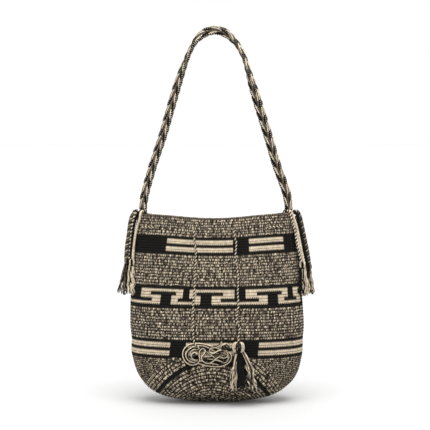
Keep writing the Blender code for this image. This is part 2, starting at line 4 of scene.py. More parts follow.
import bpy
import numpy as np
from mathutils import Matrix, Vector


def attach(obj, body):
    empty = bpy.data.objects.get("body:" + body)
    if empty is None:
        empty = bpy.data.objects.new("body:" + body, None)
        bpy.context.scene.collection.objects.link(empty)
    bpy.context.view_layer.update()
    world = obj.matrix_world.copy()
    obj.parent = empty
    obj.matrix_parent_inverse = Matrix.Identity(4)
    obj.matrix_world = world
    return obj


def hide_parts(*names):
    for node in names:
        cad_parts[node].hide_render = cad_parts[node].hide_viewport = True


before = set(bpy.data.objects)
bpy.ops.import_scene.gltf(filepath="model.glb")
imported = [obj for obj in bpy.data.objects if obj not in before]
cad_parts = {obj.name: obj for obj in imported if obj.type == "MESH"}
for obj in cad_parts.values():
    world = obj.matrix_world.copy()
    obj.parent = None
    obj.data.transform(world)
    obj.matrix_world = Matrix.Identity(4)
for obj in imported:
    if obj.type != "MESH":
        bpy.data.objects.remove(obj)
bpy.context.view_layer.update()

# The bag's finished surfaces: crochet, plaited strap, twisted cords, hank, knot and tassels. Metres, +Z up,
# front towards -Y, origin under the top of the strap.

rng = np.random.default_rng(7)

# The bag's form, the same as in the solids
BAG_WIDTH = 0.280
BAG_DEPTH = 0.112
BAG_HEIGHT = 0.3035
WALL = 0.003
RIM_FRONT_DIP = 0.0066
RIM_BACK_DIP = 0.0125
RIM_TILT = 0.0008
DIP_FADE = 0.5
RIM_TOP = -0.286

# Height share, half-width share, front and back depth shares, squareness, sideways drift share
SECTIONS = (
    (0.000, 0.900, 0.43, 0.43, 2.90, -0.0145),
    (0.058, 0.899, 0.50, 0.49, 2.80, -0.0130),
    (0.117, 0.916, 0.58, 0.57, 2.70, -0.0155),
    (0.212, 0.937, 0.69, 0.68, 2.60, -0.0100),
    (0.297, 0.954, 0.78, 0.78, 2.50, -0.0070),
    (0.403, 0.980, 0.88, 0.87, 2.45, -0.0040),
    (0.483, 0.993, 0.94, 0.93, 2.40, 0.0000),
    (0.589, 1.000, 0.99, 0.97, 2.35, 0.0060),
    (0.668, 0.987, 1.00, 0.98, 2.30, 0.0085),
    (0.721, 0.989, 1.00, 0.98, 2.30, 0.0050),
    (0.775, 0.969, 0.985, 0.965, 2.25, 0.0070),
    (0.828, 0.939, 0.945, 0.925, 2.20, 0.0095),
    (0.881, 0.880, 0.87, 0.85, 2.15, 0.0110),
    (0.912, 0.822, 0.79, 0.77, 2.12, 0.0070),
    (0.939, 0.752, 0.69, 0.67, 2.10, 0.0030),
    (0.966, 0.640, 0.53, 0.52, 2.05, 0.0060),
    (0.987, 0.460, 0.34, 0.34, 2.00, 0.0060),
    (1.000, 0.000, 0.00, 0.00, 2.00, 0.0000),
)

# Face (-1 front, 1 back), across share, height share, half-width share, half-height share, depth share
FOLDS = (
    (-1, -0.60, 0.04, 0.13, 0.20, 0.022),
    (-1, 0.47, 0.03, 0.12, 0.17, 0.020),
    (-1, -0.05, 0.20, 0.22, 0.16, 0.016),
    (-1, 0.55, 0.40, 0.16, 0.22, -0.016),
    (-1, -0.50, 0.62, 0.18, 0.18, -0.014),
    (1, 0.36, 0.16, 0.14, 0.26, 0.034),
    (1, -0.34, 0.12, 0.13, 0.24, 0.030),
    (1, 0.05, 0.48, 0.25, 0.20, 0.026),
    (1, -0.45, 0.70, 0.20, 0.14, -0.016),
)

# The drawstring and its eyelets
CORD_DIAMETER = 0.0028
EYELET_DIAMETER = 0.008
EYELET_LEVEL = 0.062
CORD_LIFT = 0.0011
CORNER_LIFT = 0.0020
EXIT_LENGTH = 0.0047
GAP = 0.0003
SIDE_TURN = 0.08
FRONT_EYELETS = (0.052, 0.098, 0.1975, 0.3125, 0.424, 0.467)
BACK_EYELETS = tuple(1.0 - share for share in reversed(FRONT_EYELETS))
IN_EYELET = 0.9
BESIDE_EYELET = 1.2
STATION_GAP = 3.4
CROSSING = ((-0.80, -1.00), (-0.35, -0.62), (0.35, 0.62), (0.80, 1.00))

# Across, below the origin, stand-off from the wall
DRAWSTRING_LEFT_ROUTE = (
    (-0.0360, 0.3130, 0.0086),
    (-0.0358, 0.3200, 0.0070),
    (-0.0350, 0.3290, 0.0036),
    (-0.0328, 0.3440, 0.0022),
    (-0.0343, 0.3720, 0.0022),
    (-0.0354, 0.4040, 0.0022),
    (-0.0372, 0.4280, 0.0022),
    (-0.0375, 0.4600, 0.0022),
    (-0.0356, 0.4840, 0.0032),
    (-0.0335, 0.4955, 0.0050),
)
DRAWSTRING_RIGHT_ROUTE = (
    (0.0275, 0.3130, 0.0086),
    (0.0288, 0.3205, 0.0070),
    (0.0312, 0.3300, 0.0036),
    (0.0302, 0.3484, 0.0022),
    (0.0323, 0.3663, 0.0022),
    (0.0345, 0.3862, 0.0022),
    (0.0334, 0.4059, 0.0022),
    (0.0344, 0.4266, 0.0022),
    (0.0316, 0.4500, 0.0024),
    (0.0364, 0.4625, 0.0034),
    (0.0349, 0.4735, 0.0056),
    (0.0345, 0.4838, 0.0068),
)

# The strap: across share, drop share, width share, turn in degrees
STRAP_WIDTH = 0.016
STRAP_THICKNESS = 0.008
STRAP_DROP = 0.286
STRAP_HALF_SPAN = 0.118
STRAP_ROUTE = (
    (-0.990, 1.048, 0.80, 0),
    (-0.990, 1.007, 0.80, 0),
    (-0.993, 0.991, 0.82, 2),
    (-1.003, 0.966, 0.88, 10),
    (-0.971, 0.882, 0.98, 24),
    (-0.861, 0.728, 1.00, 28),
    (-0.733, 0.574, 1.00, 26),
    (-0.622, 0.420, 1.00, 24),
    (-0.506, 0.266, 1.00, 42),
    (-0.397, 0.146, 1.00, 70),
    (-0.317, 0.080, 1.00, 74),
    (-0.239, 0.038, 1.00, 46),
    (-0.125, 0.008, 1.00, 16),
    (0.000, 0.000, 1.00, 0),
    (0.134, 0.019, 1.00, -32),
    (0.225, 0.051, 1.00, -60),
    (0.292, 0.085, 1.00, -70),
    (0.369, 0.143, 1.00, -76),
    (0.431, 0.222, 1.00, -68),
    (0.488, 0.300, 1.00, -38),
    (0.579, 0.419, 1.03, -12),
    (0.700, 0.574, 1.03, -4),
    (0.814, 0.728, 1.03, 0),
    (0.945, 0.876, 1.00, 0),
    (0.982, 0.966, 0.88, 0),
    (0.950, 0.991, 0.82, 0),
    (0.942, 1.007, 0.80, 0),
    (0.940, 1.048, 0.78, 0),
)

# Cords over the rim: name, diameter, plies, pitch of the twist, tones of the plies, route
SIDE_CORDS = (
    ("left_rope", 0.0052, 5, 0.0104, ("black", "grey", "brown", "cream", "brown"), (
        (-0.1266, 0.0006, -0.2812), (-0.1318, -0.0005, -0.2832), (-0.1368, -0.0020, -0.2922),
        (-0.1393, -0.0035, -0.3036), (-0.1410, -0.0050, -0.3183), (-0.1432, -0.0062, -0.3320),
        (-0.1446, -0.0072, -0.3457), (-0.1450, -0.0080, -0.3568),
    )),
    ("left_mottled_cord", 0.0030, 2, 0.006, ("black", "cream"), (
        (-0.1250, -0.0040, -0.2832), (-0.1304, -0.0056, -0.2856), (-0.1332, -0.0070, -0.2960),
        (-0.1357, -0.0078, -0.3104), (-0.1377, -0.0090, -0.3300), (-0.1387, -0.0100, -0.3447),
        (-0.1400, -0.0100, -0.3568),
    )),
    ("left_black_cord", 0.0028, 2, 0.007, ("black", "black"), (
        (-0.1218, -0.0056, -0.2808), (-0.1266, -0.0096, -0.2846), (-0.1302, -0.0106, -0.2950),
        (-0.1330, -0.0112, -0.3080), (-0.1350, -0.0126, -0.3230), (-0.1368, -0.0146, -0.3400),
        (-0.1374, -0.0172, -0.3568),
    )),
    ("left_cream_cord", 0.0025, 2, 0.006, ("cream", "cream"), (
        (-0.1176, -0.0052, -0.2806), (-0.1214, -0.0110, -0.2826), (-0.1232, -0.0152, -0.2924),
        (-0.1270, -0.0146, -0.3036), (-0.1302, -0.0158, -0.3183), (-0.1324, -0.0170, -0.3339),
        (-0.1338, -0.0180, -0.3476), (-0.1342, -0.0186, -0.3568),
    )),
    ("right_rope", 0.0042, 5, 0.0094, ("black", "grey", "black", "cream", "brown"), (
        (0.1232, 0.0005, -0.2816), (0.1305, 0.0000, -0.2826), (0.1348, -0.0010, -0.2915),
        (0.1368, -0.0020, -0.3000), (0.1390, -0.0030, -0.3104), (0.1422, -0.0040, -0.3260),
        (0.1450, -0.0050, -0.3397), (0.1478, -0.0058, -0.3544), (0.1490, -0.0064, -0.3652),
    )),
    ("right_black_cord", 0.0040, 2, 0.009, ("black", "black"), (
        (0.1214, -0.0040, -0.2818), (0.1288, -0.0068, -0.2854), (0.1312, -0.0078, -0.2965),
        (0.1341, -0.0084, -0.3110), (0.1372, -0.0090, -0.3260), (0.1398, -0.0098, -0.3397),
        (0.1428, -0.0102, -0.3530), (0.1452, -0.0098, -0.3652),
    )),
    ("right_mottled_cord", 0.0024, 2, 0.0055, ("black", "cream"), (
        (0.1125, -0.0050, -0.2800), (0.1176, -0.0128, -0.2820), (0.1200, -0.0174, -0.2925),
        (0.1230, -0.0148, -0.3030), (0.1262, -0.0160, -0.3154), (0.1292, -0.0180, -0.3339),
        (0.1320, -0.0196, -0.3457), (0.1352, -0.0200, -0.3612),
    )),
    ("right_cream_cord", 0.0027, 2, 0.006, ("cream", "cream"), (
        (0.1170, -0.0050, -0.2804), (0.1204, -0.0104, -0.2824), (0.1240, -0.0120, -0.2924),
        (0.1280, -0.0122, -0.3046), (0.1310, -0.0142, -0.3183), (0.1340, -0.0160, -0.3339),
        (0.1370, -0.0172, -0.3495), (0.1392, -0.0178, -0.3612),
    )),
)

# The yarns
TONES = {
    "black": (0.0050, 0.0045, 0.0035),
    "cream": (0.650, 0.545, 0.400),
    "grey": (0.225, 0.185, 0.138),
    "brown": (0.090, 0.070, 0.050),
    "mottle": (0.170, 0.138, 0.100),
    "pale": (0.800, 0.690, 0.530),
}


# ---- Camera, lights and floor ----

PIXEL = 0.00161
FRAME_PIXELS = 430
ORIGIN_PIXELS = (216.6, 36.4)  # where the photograph shows the origin, from the left and from the top
CAMERA_DISTANCE = 2.5
CAMERA_RISE = math.radians(4.5)
SENSOR = 36
MIDDLE_X = (FRAME_PIXELS / 2 - ORIGIN_PIXELS[0]) * PIXEL
MIDDLE_Z = (ORIGIN_PIXELS[1] - FRAME_PIXELS / 2) * PIXEL
FLOOR_GAP = 0.0006
FLOOR_Z = RIM_TOP - BAG_HEIGHT - FLOOR_GAP
FLOOR_REACH = 12.0
FLOOR_GREY = 0.52
SKY_POWER = 3.3
SKY_WIDTH = math.radians(46)
SKY_TURN = (math.radians(16), math.radians(2), 0)
FRONT_LIGHT_PLACE = (-0.9, -2.2, 0.6)
FRONT_LIGHT_SIZE = 1.2
FRONT_LIGHT_POWER = 4


def set_camera():
    """The photograph's view: from a little above the middle, with a long lens."""
    camera = bpy.data.objects.new("camera", bpy.data.cameras.new("camera"))
    bpy.context.scene.collection.objects.link(camera)
    camera.data.sensor_width = SENSOR
    camera.data.lens = SENSOR * CAMERA_DISTANCE / (FRAME_PIXELS * PIXEL)
    camera.data.clip_start = 0.05
    camera.location = (
        MIDDLE_X, -CAMERA_DISTANCE * math.cos(CAMERA_RISE), MIDDLE_Z + CAMERA_DISTANCE * math.sin(CAMERA_RISE)
    )
    camera.rotation_euler = (math.pi / 2 - CAMERA_RISE, 0, 0)
    bpy.context.scene.camera = camera


def add_light(name, kind, power):
    """A lamp, to be sized and turned."""
    light = bpy.data.objects.new(name, bpy.data.lights.new(name, kind))
    light.data.energy = power
    bpy.context.scene.collection.objects.link(light)
    return light


def set_studio():
    """A white floor, a white surround, wide soft light from above and a faint light from the front."""
    floor_mesh = bpy.data.meshes.new("floor")
    corners = ((-1, -1), (1, -1), (1, 1), (-1, 1))
    floor_mesh.from_pydata([(x * FLOOR_REACH, y * FLOOR_REACH, FLOOR_Z) for x, y in corners], [], [(0, 1, 2, 3)])
    floor = bpy.data.objects.new("floor", floor_mesh)
    bpy.context.scene.collection.objects.link(floor)
    paper = bpy.data.materials.new("white_paper")
    paper.use_nodes = True
    shader = paper.node_tree.nodes["Principled BSDF"]
    shader.inputs["Base Color"].default_value = (FLOOR_GREY, FLOOR_GREY, FLOOR_GREY, 1)
    shader.inputs["Roughness"].default_value = 0.9
    floor_mesh.materials.append(paper)
    world = bpy.data.worlds.new("white_room")
    world.use_nodes = True
    world.node_tree.nodes["Background"].inputs["Color"].default_value = (1, 1, 1, 1)
    world.node_tree.nodes["Background"].inputs["Strength"].default_value = 1.0
    bpy.context.scene.world = world
    sky = add_light("top_light", "SUN", SKY_POWER)
    sky.data.angle = SKY_WIDTH
    sky.rotation_euler = SKY_TURN
    front = add_light("front_light", "AREA", FRONT_LIGHT_POWER)
    front.data.size = FRONT_LIGHT_SIZE
    front.location = FRONT_LIGHT_PLACE
    aim = Vector((MIDDLE_X, 0, MIDDLE_Z)) - Vector(FRONT_LIGHT_PLACE)
    front.rotation_euler = aim.to_track_quat("-Z", "Y").to_euler()
    bpy.context.scene.view_settings.view_transform = "Standard"


# ---- Lines and nets ----

def unit(directions):
    """Directions at length 1."""
    return directions / np.linalg.norm(directions, axis=-1, keepdims=True)


def lengths_along(points):
    """How far along a line each of its points lies."""
    return np.concatenate([[0], np.cumsum(np.linalg.norm(np.diff(points, axis=0), axis=1))])


def read_line(at, lengths, values):
    """The points of a line, or its directions, at given lengths."""
    return np.stack([np.interp(at, lengths, values[:, k]) for k in range(3)], 1)


def read_net(net, row, column):
    """The values of a net between its rows and columns."""
    i = np.minimum(row.astype(int), net.shape[0] - 2)
    j = np.minimum(column.astype(int), net.shape[1] - 2)
    f, g = row - i, column - j
    if net.ndim == 3:
        f, g = f[..., None], g[..., None]
    low = net[i, j] * (1 - g) + net[i, j + 1] * g
    high = net[i + 1, j] * (1 - g) + net[i + 1, j + 1] * g
    return low * (1 - f) + high * f


def net_cells(rows, columns):
    """The row and column number of each cell of a net that closes round, and its quads."""
    i, j = np.meshgrid(np.arange(rows), np.arange(columns), indexing="ij")
    following = (j + 1) % columns
    here, below = i * columns, (i + 1) * columns
    return i, j, np.stack([here + j, here + following, below + following, below + j], -1)


def corner_runs(near, far, left, right):
    """How far along and round its yarn each corner of each cell of a net lies."""
    corners = ((near, left), (near, right), (far, right), (far, left))
    return np.stack([np.stack([along, around, near * 0.0], -1) for along, around in corners], -2)


# ---- The wall's form ----

def look_up(rows, at, measure=lambda share: share):
    """Reads every column of a table at a share in its first column, along smooth curves without overshoot."""
    keys = [measure(row[0]) for row in rows]
    at = measure(at)
    if keys[0] > keys[-1]:
        rows, keys = rows[::-1], keys[::-1]
    at = min(max(at, keys[0]), keys[-1])
    i = max(k for k in range(len(keys) - 1) if keys[k] <= at)
    span = keys[i + 1] - keys[i]
    part = (at - keys[i]) / span
    values = []
    for column in range(1, len(rows[0])):
        here = slope(rows, keys, i, column) * span
        there = slope(rows, keys, i + 1, column) * span
        low, high = rows[i][column], rows[i + 1][column]
        cubic = 2 * (low - high) + here + there
        square = 3 * (high - low) - 2 * here - there
        values.append(low + part * (here + part * (square + part * cubic)))
    return values


def slope(rows, keys, i, column):
    """The slope of a table's column at row i, level at a turn."""
    steps = []
    for k in (i - 1, i):
        if 0 <= k < len(keys) - 1:
            steps.append((rows[k + 1][column] - rows[k][column]) / (keys[k + 1] - keys[k]))
    if len(steps) == 1:
        return steps[0]
    before, after = steps
    return 0.0 if before * after <= 0 else 2 * before * after / (before + after)


def bottom_measure(level):
    """Spreads the rows of the sections so that the bag's bottom closes round."""
    return math.sqrt(max(0.0, 1.0 - level))


def section(level):
    """Half-width, front and back depth, squareness and drift of the bag at a height share, in metres."""
    width, front, back, squareness, drift = look_up(SECTIONS, level, bottom_measure)
    half_width, half_depth = BAG_WIDTH / 2, BAG_DEPTH / 2
    return width * half_width, front * half_depth, back * half_depth, squareness, drift * half_width


def fold_depth(face, across, level):
    """How far the folds push the wall inward at a place."""
    depth = 0.0
    for side, fold_across, fold_level, half_width, half_height, share in FOLDS:
        reach = ((across - fold_across) / half_width) ** 2 + ((level - fold_level) / half_height) ** 2
        depth = depth + (face == side) * share * BAG_DEPTH * np.exp(-reach)
    return depth


def wall_height(face, across, level):
    """Height of a place on the wall: the rim dips in the middle of each face and tilts a little."""
    fade = max(0.0, 1.0 - level / DIP_FADE)
    inner = np.maximum(0.0, 1.0 - across * across)
    dip = np.where(face < 0, RIM_FRONT_DIP * inner ** 3, RIM_BACK_DIP * inner ** 1.5)
    return RIM_TOP - level * BAG_HEIGHT - fade * (dip - RIM_TILT * across)


LEVEL_STEPS = 400
ROUND_STEPS = 720
RING_STEPS = 2880


def wall_ring(level):
    """Points evenly round the outer wall at a height share, from the right side by the front."""
    half_width, front, back, squareness, drift = section(level)
    angle = np.linspace(0, 2 * math.pi, RING_STEPS + 1)
    power = 2.0 / squareness
    across = np.sign(np.cos(angle)) * np.abs(np.cos(angle)) ** power
    face = np.where(np.sin(angle) >= 0, -1, 1)
    forward = np.abs(np.sin(angle)) ** power
    depth = np.where(face < 0, front, back)
    y = face * (forward * depth - (1.0 - across ** 4) * forward * fold_depth(face, across, level))
    points = np.stack([drift + across * half_width, y, wall_height(face, across, level)], 1)
    lengths = lengths_along(points)
    if lengths[-1] < 1e-6:
        return np.repeat(points[:1], ROUND_STEPS + 1, axis=0), 0.0
    even = np.linspace(0, lengths[-1], ROUND_STEPS + 1)
    return read_line(even, lengths, points), lengths[-1]


def measure_wall():
    """The wall's points and outward directions on an even net of heights and shares of the way round."""
    levels = 1.0 - np.linspace(0, 1, LEVEL_STEPS + 1) ** 2
    points = np.array([wall_ring(level)[0] for level in levels])
    along = np.roll(points[:, :-1], -1, 1) - np.roll(points[:, :-1], 1, 1)
    along = np.concatenate([along, along[:, :1]], 1)
    up = np.gradient(points, axis=0)
    out = np.cross(up, along)
    out[0] = out[1] = (0, 0, -1e-9)
    out /= np.linalg.norm(out, axis=2, keepdims=True) + 1e-30
    return points, out


WALL_POINTS, WALL_OUT = measure_wall()


def on_net(net, share, level):
    """Reads a net of the wall at any places."""
    return read_net(net, np.sqrt(np.clip(1.0 - level, 0, 1)) * LEVEL_STEPS, (share % 1.0) * ROUND_STEPS)


def wall_at(share, level):
    """Points on the wall, and the outward directions there."""
    return on_net(WALL_POINTS, share, level), unit(on_net(WALL_OUT, share, level))


def off_wall(share, level, outward):
    """Points at a distance outward from the wall."""
    points, out = wall_at(*np.broadcast_arrays(np.asarray(share, float), np.asarray(level, float)))
    return points + out * np.asarray(outward, float)[..., None]


def front_face(across, below):
    """The y of the front wall at a place seen from the front."""
    level = (below + RIM_TOP) / BAG_HEIGHT
    for _ in range(8):
        half_width, front, _, squareness, drift = section(level)
        share = (across - drift) / half_width
        level += float(wall_height(-1, share, level) + below) / BAG_HEIGHT
    forward = (1.0 - abs(share) ** squareness) ** (1.0 / squareness)
    return -forward * (front - (1.0 - share ** 4) * float(fold_depth(-1, share, level)))


# ---- Meshes ----

def make_piece(name, points, faces, tones, runs, material, slot, nodes):
    """A piece of quads, with a colour for each face and the way its yarn runs at each corner."""
    mesh = bpy.data.meshes.new(name)
    mesh.vertices.add(len(points))
    mesh.vertices.foreach_set("co", np.asarray(points, np.float32).ravel())
    mesh.loops.add(len(faces) * 4)
    mesh.loops.foreach_set("vertex_index", np.asarray(faces, np.int32).ravel())
    mesh.polygons.add(len(faces))
    mesh.polygons.foreach_set("loop_start", np.arange(len(faces), dtype=np.int32) * 4)
    mesh.update(calc_edges=True)
    mesh.validate()
    colours = np.ones((len(faces), 4, 4), np.float32)
    colours[:, :, :3] = np.asarray(tones)[:, None, :]
    paint = mesh.color_attributes.new("yarn_colour", "FLOAT_COLOR", "CORNER")
    paint.data.foreach_set("color", colours.ravel())
    run = mesh.attributes.new("yarn_run", "FLOAT_VECTOR", "CORNER")
    run.data.foreach_set("vector", np.asarray(runs, np.float32).ravel())
    mesh.shade_smooth()
    mesh.materials.append(material)
    piece = bpy.data.objects.new(name, mesh)
    bpy.context.scene.collection.objects.link(piece)
    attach(piece, "root")
    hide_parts(*nodes)
    return piece


class Heap:
    """Quads gathered from several strands, for one piece."""

    def __init__(self):
        self.points, self.faces, self.tones, self.runs, self.count = [], [], [], [], 0

    def add(self, points, faces, tones, runs):
        self.points.append(points)
        self.faces.append(faces + self.count)
        self.tones.append(tones)
        self.runs.append(runs)
        self.count += len(points)

    def piece(self, name, material, slot, nodes):
        return make_piece(
            name, np.concatenate(self.points), np.concatenate(self.faces), np.concatenate(self.tones),
            np.concatenate(self.runs), material, slot, nodes,
        )


CURVE_STEPS = 12
SHADE_LIMITS = (0.4, 1.8)


def even_steps(points, step):
    """Points at even steps along a line through points."""
    points = np.asarray(points, float)
    lengths = lengths_along(points)
    count = max(2, round(lengths[-1] / step))
    return read_line(np.linspace(0, lengths[-1], count + 1), lengths, points)


def smooth_route(points, step):
    """Points at even steps along a smooth curve through the given points."""
    points = np.asarray(points, float)
    padded = np.concatenate([[points[0] * 2 - points[1]], points, [points[-1] * 2 - points[-2]]])
    fine = []
    for p0, p1, p2, p3 in zip(padded, padded[1:], padded[2:], padded[3:]):
        for t in np.arange(0, 1, 1 / CURVE_STEPS):
            bend = 2 * p1 + (p2 - p0) * t + (2 * p0 - 5 * p1 + 4 * p2 - p3) * t * t
            fine.append((bend + (3 * p1 - p0 - 3 * p2 + p3) * t ** 3) / 2)
    fine.append(points[-1])
    return even_steps(fine, step)


def route_length(points):
    """How long a line is."""
    return float(np.linalg.norm(np.diff(points, axis=0), axis=1).sum())


def carried_frames(path):
    """Directions across and over a path, turned as little as can be from point to point."""
    along = unit(np.gradient(path, axis=0))
    start = np.array([0, -1.0, 0]) if abs(along[0][1]) < 0.9 else np.array([1.0, 0, 0])
    over = start - along[0] * start.dot(along[0])
    sides = []
    for direction in along:
        over = over - direction * over.dot(direction)
        over = over / np.linalg.norm(over)
        sides.append(over)
    return np.cross(sides, along), np.array(sides)


def flat_frames(path):
    """Directions across and over a path that lies flat on the front of the bag."""
    along = unit(np.gradient(path, axis=0))
    over = unit(np.array([0.0, -1.0, 0.0]) + along * along[:, 1:2])
    return np.cross(over, along), over


def strand(
    heap, path, radius, tones, plies=1, pitch=1.0, sides=6, variation=0.12, hollow=0.6, taper=0.5, turned=None,
):
    """A length of yarn or cord along a path: round, or with plies that wind round it, or that lie side by side."""
    path = np.asarray(path)
    across, over = carried_frames(path) if turned is None else flat_frames(path)
    lengths = lengths_along(path)
    local = 2 * math.pi * np.arange(sides) / sides
    lobes = np.ones(sides) if plies == 1 else hollow + (1 - hollow) * np.abs(np.cos(plies * local / 2))
    turned = 2 * math.pi * lengths / pitch * (plies > 1) if turned is None else turned
    turn = local[None, :] + turned[:, None]
    size = np.broadcast_to(np.asarray(radius, float), (len(path),)).copy()
    size[[0, -1]] *= taper
    reach = size[:, None] * lobes[None, :]
    rings = path[:, None] + across[:, None] * (reach * np.cos(turn))[..., None]
    rings += over[:, None] * (reach * np.sin(turn))[..., None]
    points = np.concatenate([rings.reshape(-1, 3), path[:1], path[-1:]])
    rows = len(path) - 1
    i, j, quads = net_cells(rows, sides)
    ply = np.round((j + 0.5) / sides * plies).astype(int) % plies
    shade = 1 + variation * rng.standard_normal((rows, plies))
    colours = np.array([TONES[tone] for tone in tones])[ply] * np.clip(shade[i, ply], *SHADE_LIMITS)[..., None]
    thickness = float(np.mean(radius))
    runs = corner_runs(
        lengths[i] / thickness, lengths[i + 1] / thickness, j * plies / sides, (j + 1) * plies / sides,
    )
    heap.add(points, quads.reshape(-1, 4), colours.reshape(-1, 3), runs.reshape(-1, 4, 3))
    last = rows * sides
    centre = len(rings) * sides
    for base, tip, flip in ((0, centre, True), (last, centre + 1, False)):
        caps = []
        for k in range(0, sides, 2):
            corners = [base + k, base + (k + 1) % sides, base + (k + 2) % sides, tip]
            caps.append(corners[::-1] if flip else corners)
        heap.faces.append(np.array(caps) + heap.count - len(points))
        heap.tones.append(np.repeat([TONES[tones[0]]], len(caps), axis=0))
        heap.runs.append(np.zeros((len(caps), 4, 3)))


# ---- Yarn materials ----

def feed(tree, socket, value):
    """Sets an input, or links it to another node's output."""
    if isinstance(value, bpy.types.NodeSocket):
        tree.links.new(value, socket)
    else:
        socket.default_value = value


def add_node(tree, kind, **inputs):
    """A node with some of its inputs set or linked."""
    node = tree.nodes.new(kind)
    for name, value in inputs.items():
        feed(tree, node.inputs[name], value)
    return node


def maths(tree, operation, first, second=0.0):
    """A value worked out from one or two values."""
    node = tree.nodes.new("ShaderNodeMath")
    node.operation = operation
    for socket, value in zip(node.inputs, (first, second)):
        feed(tree, socket, value)
    return node.outputs[0]


def new_group(name, inputs, outputs):
    """An empty node group with named inputs and outputs."""
    group = bpy.data.node_groups.new(name, "ShaderNodeTree")
    for label, kind, value in inputs:
        socket = group.interface.new_socket(label, in_out="INPUT", socket_type=kind)
        if value is not None:
            socket.default_value = value
    for label, kind in outputs:
        group.interface.new_socket(label, in_out="OUTPUT", socket_type=kind)
    return group, group.nodes.new("NodeGroupInput"), group.nodes.new("NodeGroupOutput")


def make_spun_yarn():
    """Spun cotton: fine plies that wind along the yarn, with painted shade between them, uneven dye and fuzz."""
    group, given, result = new_group(
        "spun_yarn",
        [
            ("Colour", "NodeSocketColor", None),
            ("Run", "NodeSocketVector", None),
            ("Turns", "NodeSocketFloat", 2.0),
            ("Lean", "NodeSocketFloat", 1.0),
            ("Depth", "NodeSocketFloat", 0.35),
            ("Unevenness", "NodeSocketFloat", 0.25),
        ],
        [("Colour", "NodeSocketColor"), ("Height", "NodeSocketFloat")],
    )
    times, plus, minus = (partial(maths, group, operation) for operation in ("MULTIPLY", "ADD", "SUBTRACT"))
    parts = add_node(group, "ShaderNodeSeparateXYZ", Vector=given.outputs["Run"])
    along = times(parts.outputs["X"], given.outputs["Turns"])
    around = times(parts.outputs["Y"], given.outputs["Lean"])
    phase = times(plus(along, around), 2 * math.pi)
    wave = times(plus(maths(group, "SINE", phase), 1.0), 0.5)
    place = add_node(group, "ShaderNodeTexCoord")
    fuzz = add_node(group, "ShaderNodeTexNoise", Vector=place.outputs["Object"], Scale=1500.0, Detail=2.0)
    dye = add_node(group, "ShaderNodeTexNoise", Vector=place.outputs["Object"], Scale=260.0, Detail=3.0)
    # Painted shade: the colour is darkened in the grooves between the plies
    painted_ply_shade = times(minus(1.0, wave), given.outputs["Depth"])
    spread = times(times(minus(dye.outputs["Fac"], 0.5), 2.0), given.outputs["Unevenness"])
    tint = add_node(group, "ShaderNodeVectorMath")
    tint.operation = "SCALE"
    group.links.new(given.outputs["Colour"], tint.inputs[0])
    group.links.new(minus(plus(1.0, spread), painted_ply_shade), tint.inputs["Scale"])
    group.links.new(tint.outputs[0], result.inputs["Colour"])
    height = plus(times(wave, 0.7), times(fuzz.outputs["Fac"], 0.5))
    group.links.new(height, result.inputs["Height"])
    return group


SPUN_YARN = make_spun_yarn()


def make_yarn(name, turns, lean, depth, unevenness, relief, sheen):
    """A yarn finish for pieces that carry their colour and the way their yarn runs."""
    material = bpy.data.materials.new(name)
    material.use_nodes = True
    tree = material.node_tree
    shader = tree.nodes["Principled BSDF"]
    colour = add_node(tree, "ShaderNodeAttribute")
    colour.attribute_name = "yarn_colour"
    run = add_node(tree, "ShaderNodeAttribute")
    run.attribute_name = "yarn_run"
    spun = tree.nodes.new("ShaderNodeGroup")
    spun.node_tree = SPUN_YARN
    tree.links.new(colour.outputs["Color"], spun.inputs["Colour"])
    tree.links.new(run.outputs["Vector"], spun.inputs["Run"])
    # depth sets how strong the painted shade between the plies is
    for label, value in (("Turns", turns), ("Lean", lean), ("Depth", depth), ("Unevenness", unevenness)):
        spun.inputs[label].default_value = value
    bump = add_node(tree, "ShaderNodeBump", Strength=0.8, Distance=relief, Height=spun.outputs["Height"])
    tree.links.new(spun.outputs["Colour"], shader.inputs["Base Color"])
    tree.links.new(bump.outputs["Normal"], shader.inputs["Normal"])
    shader.inputs["Roughness"].default_value = 0.9
    shader.inputs["Specular IOR Level"].default_value = 0.15
    shader.inputs["Sheen Weight"].default_value = sheen
    shader.inputs["Sheen Roughness"].default_value = 0.5
    return material


# In each finish the third number is the strength of the painted shade between the plies
CROCHET = make_yarn("crochet_yarn", 2.0, 1.0, 0.35, 0.30, 0.0003, 0.02)
BRAID = make_yarn("braid_yarn", 0.9, 2.0, 0.35, 0.30, 0.0004, 0.02)
CORD = make_yarn("cord_yarn", 1.2, 1.0, 0.30, 0.25, 0.0002, 0.02)
LOOSE = make_yarn("loose_yarn", 0.6, 1.0, 0.35, 0.20, 0.0002, 0.03)


# ---- Crochet ----

STITCHES_ROUND = 192
FRONT_SPREAD = 0.08
ROW_LEAN = 0.10
STITCH_POINT = 0.14
STITCH_RELIEF = 0.0010
STITCH_SINK = 0.55
ACROSS_STEPS = 6
DOWN_STEPS = 3
LEGS = 2
LEG_STEPS = ACROSS_STEPS // LEGS

# Bands from the rim down: name, height share where it ends, number of rows
ZONES = (
    ("crochet_upper", 0.0990, 7),
    ("crochet_first_band", 0.1940, 7),
    ("crochet_second_field", 0.3610, 11),
    ("crochet_middle_band", 0.4770, 7),
    ("crochet_third_field", 0.6450, 11),
    ("crochet_low_band", 0.7450, 7),
    ("crochet_sides_of_base", 0.9960, 24),
)


def zone_levels():
    """The height share at every row's edge, and the first row of each zone."""
    levels, firsts, start = [0.0], {}, 0.0
    for name, end, rows in ZONES:
        firsts[name] = len(levels) - 1
        levels += [start + (end - start) * (k + 1) / rows for k in range(rows)]
        start = end
    return np.array(levels), firsts


ROW_LEVELS, FIRST_ROWS = zone_levels()
LOW_BAND_END = ROW_LEVELS[FIRST_ROWS["crochet_sides_of_base"]]


def row_level(row):
    """The height share of a place counted in rows from the rim."""
    return np.interp(row, np.arange(len(ROW_LEVELS)), ROW_LEVELS)


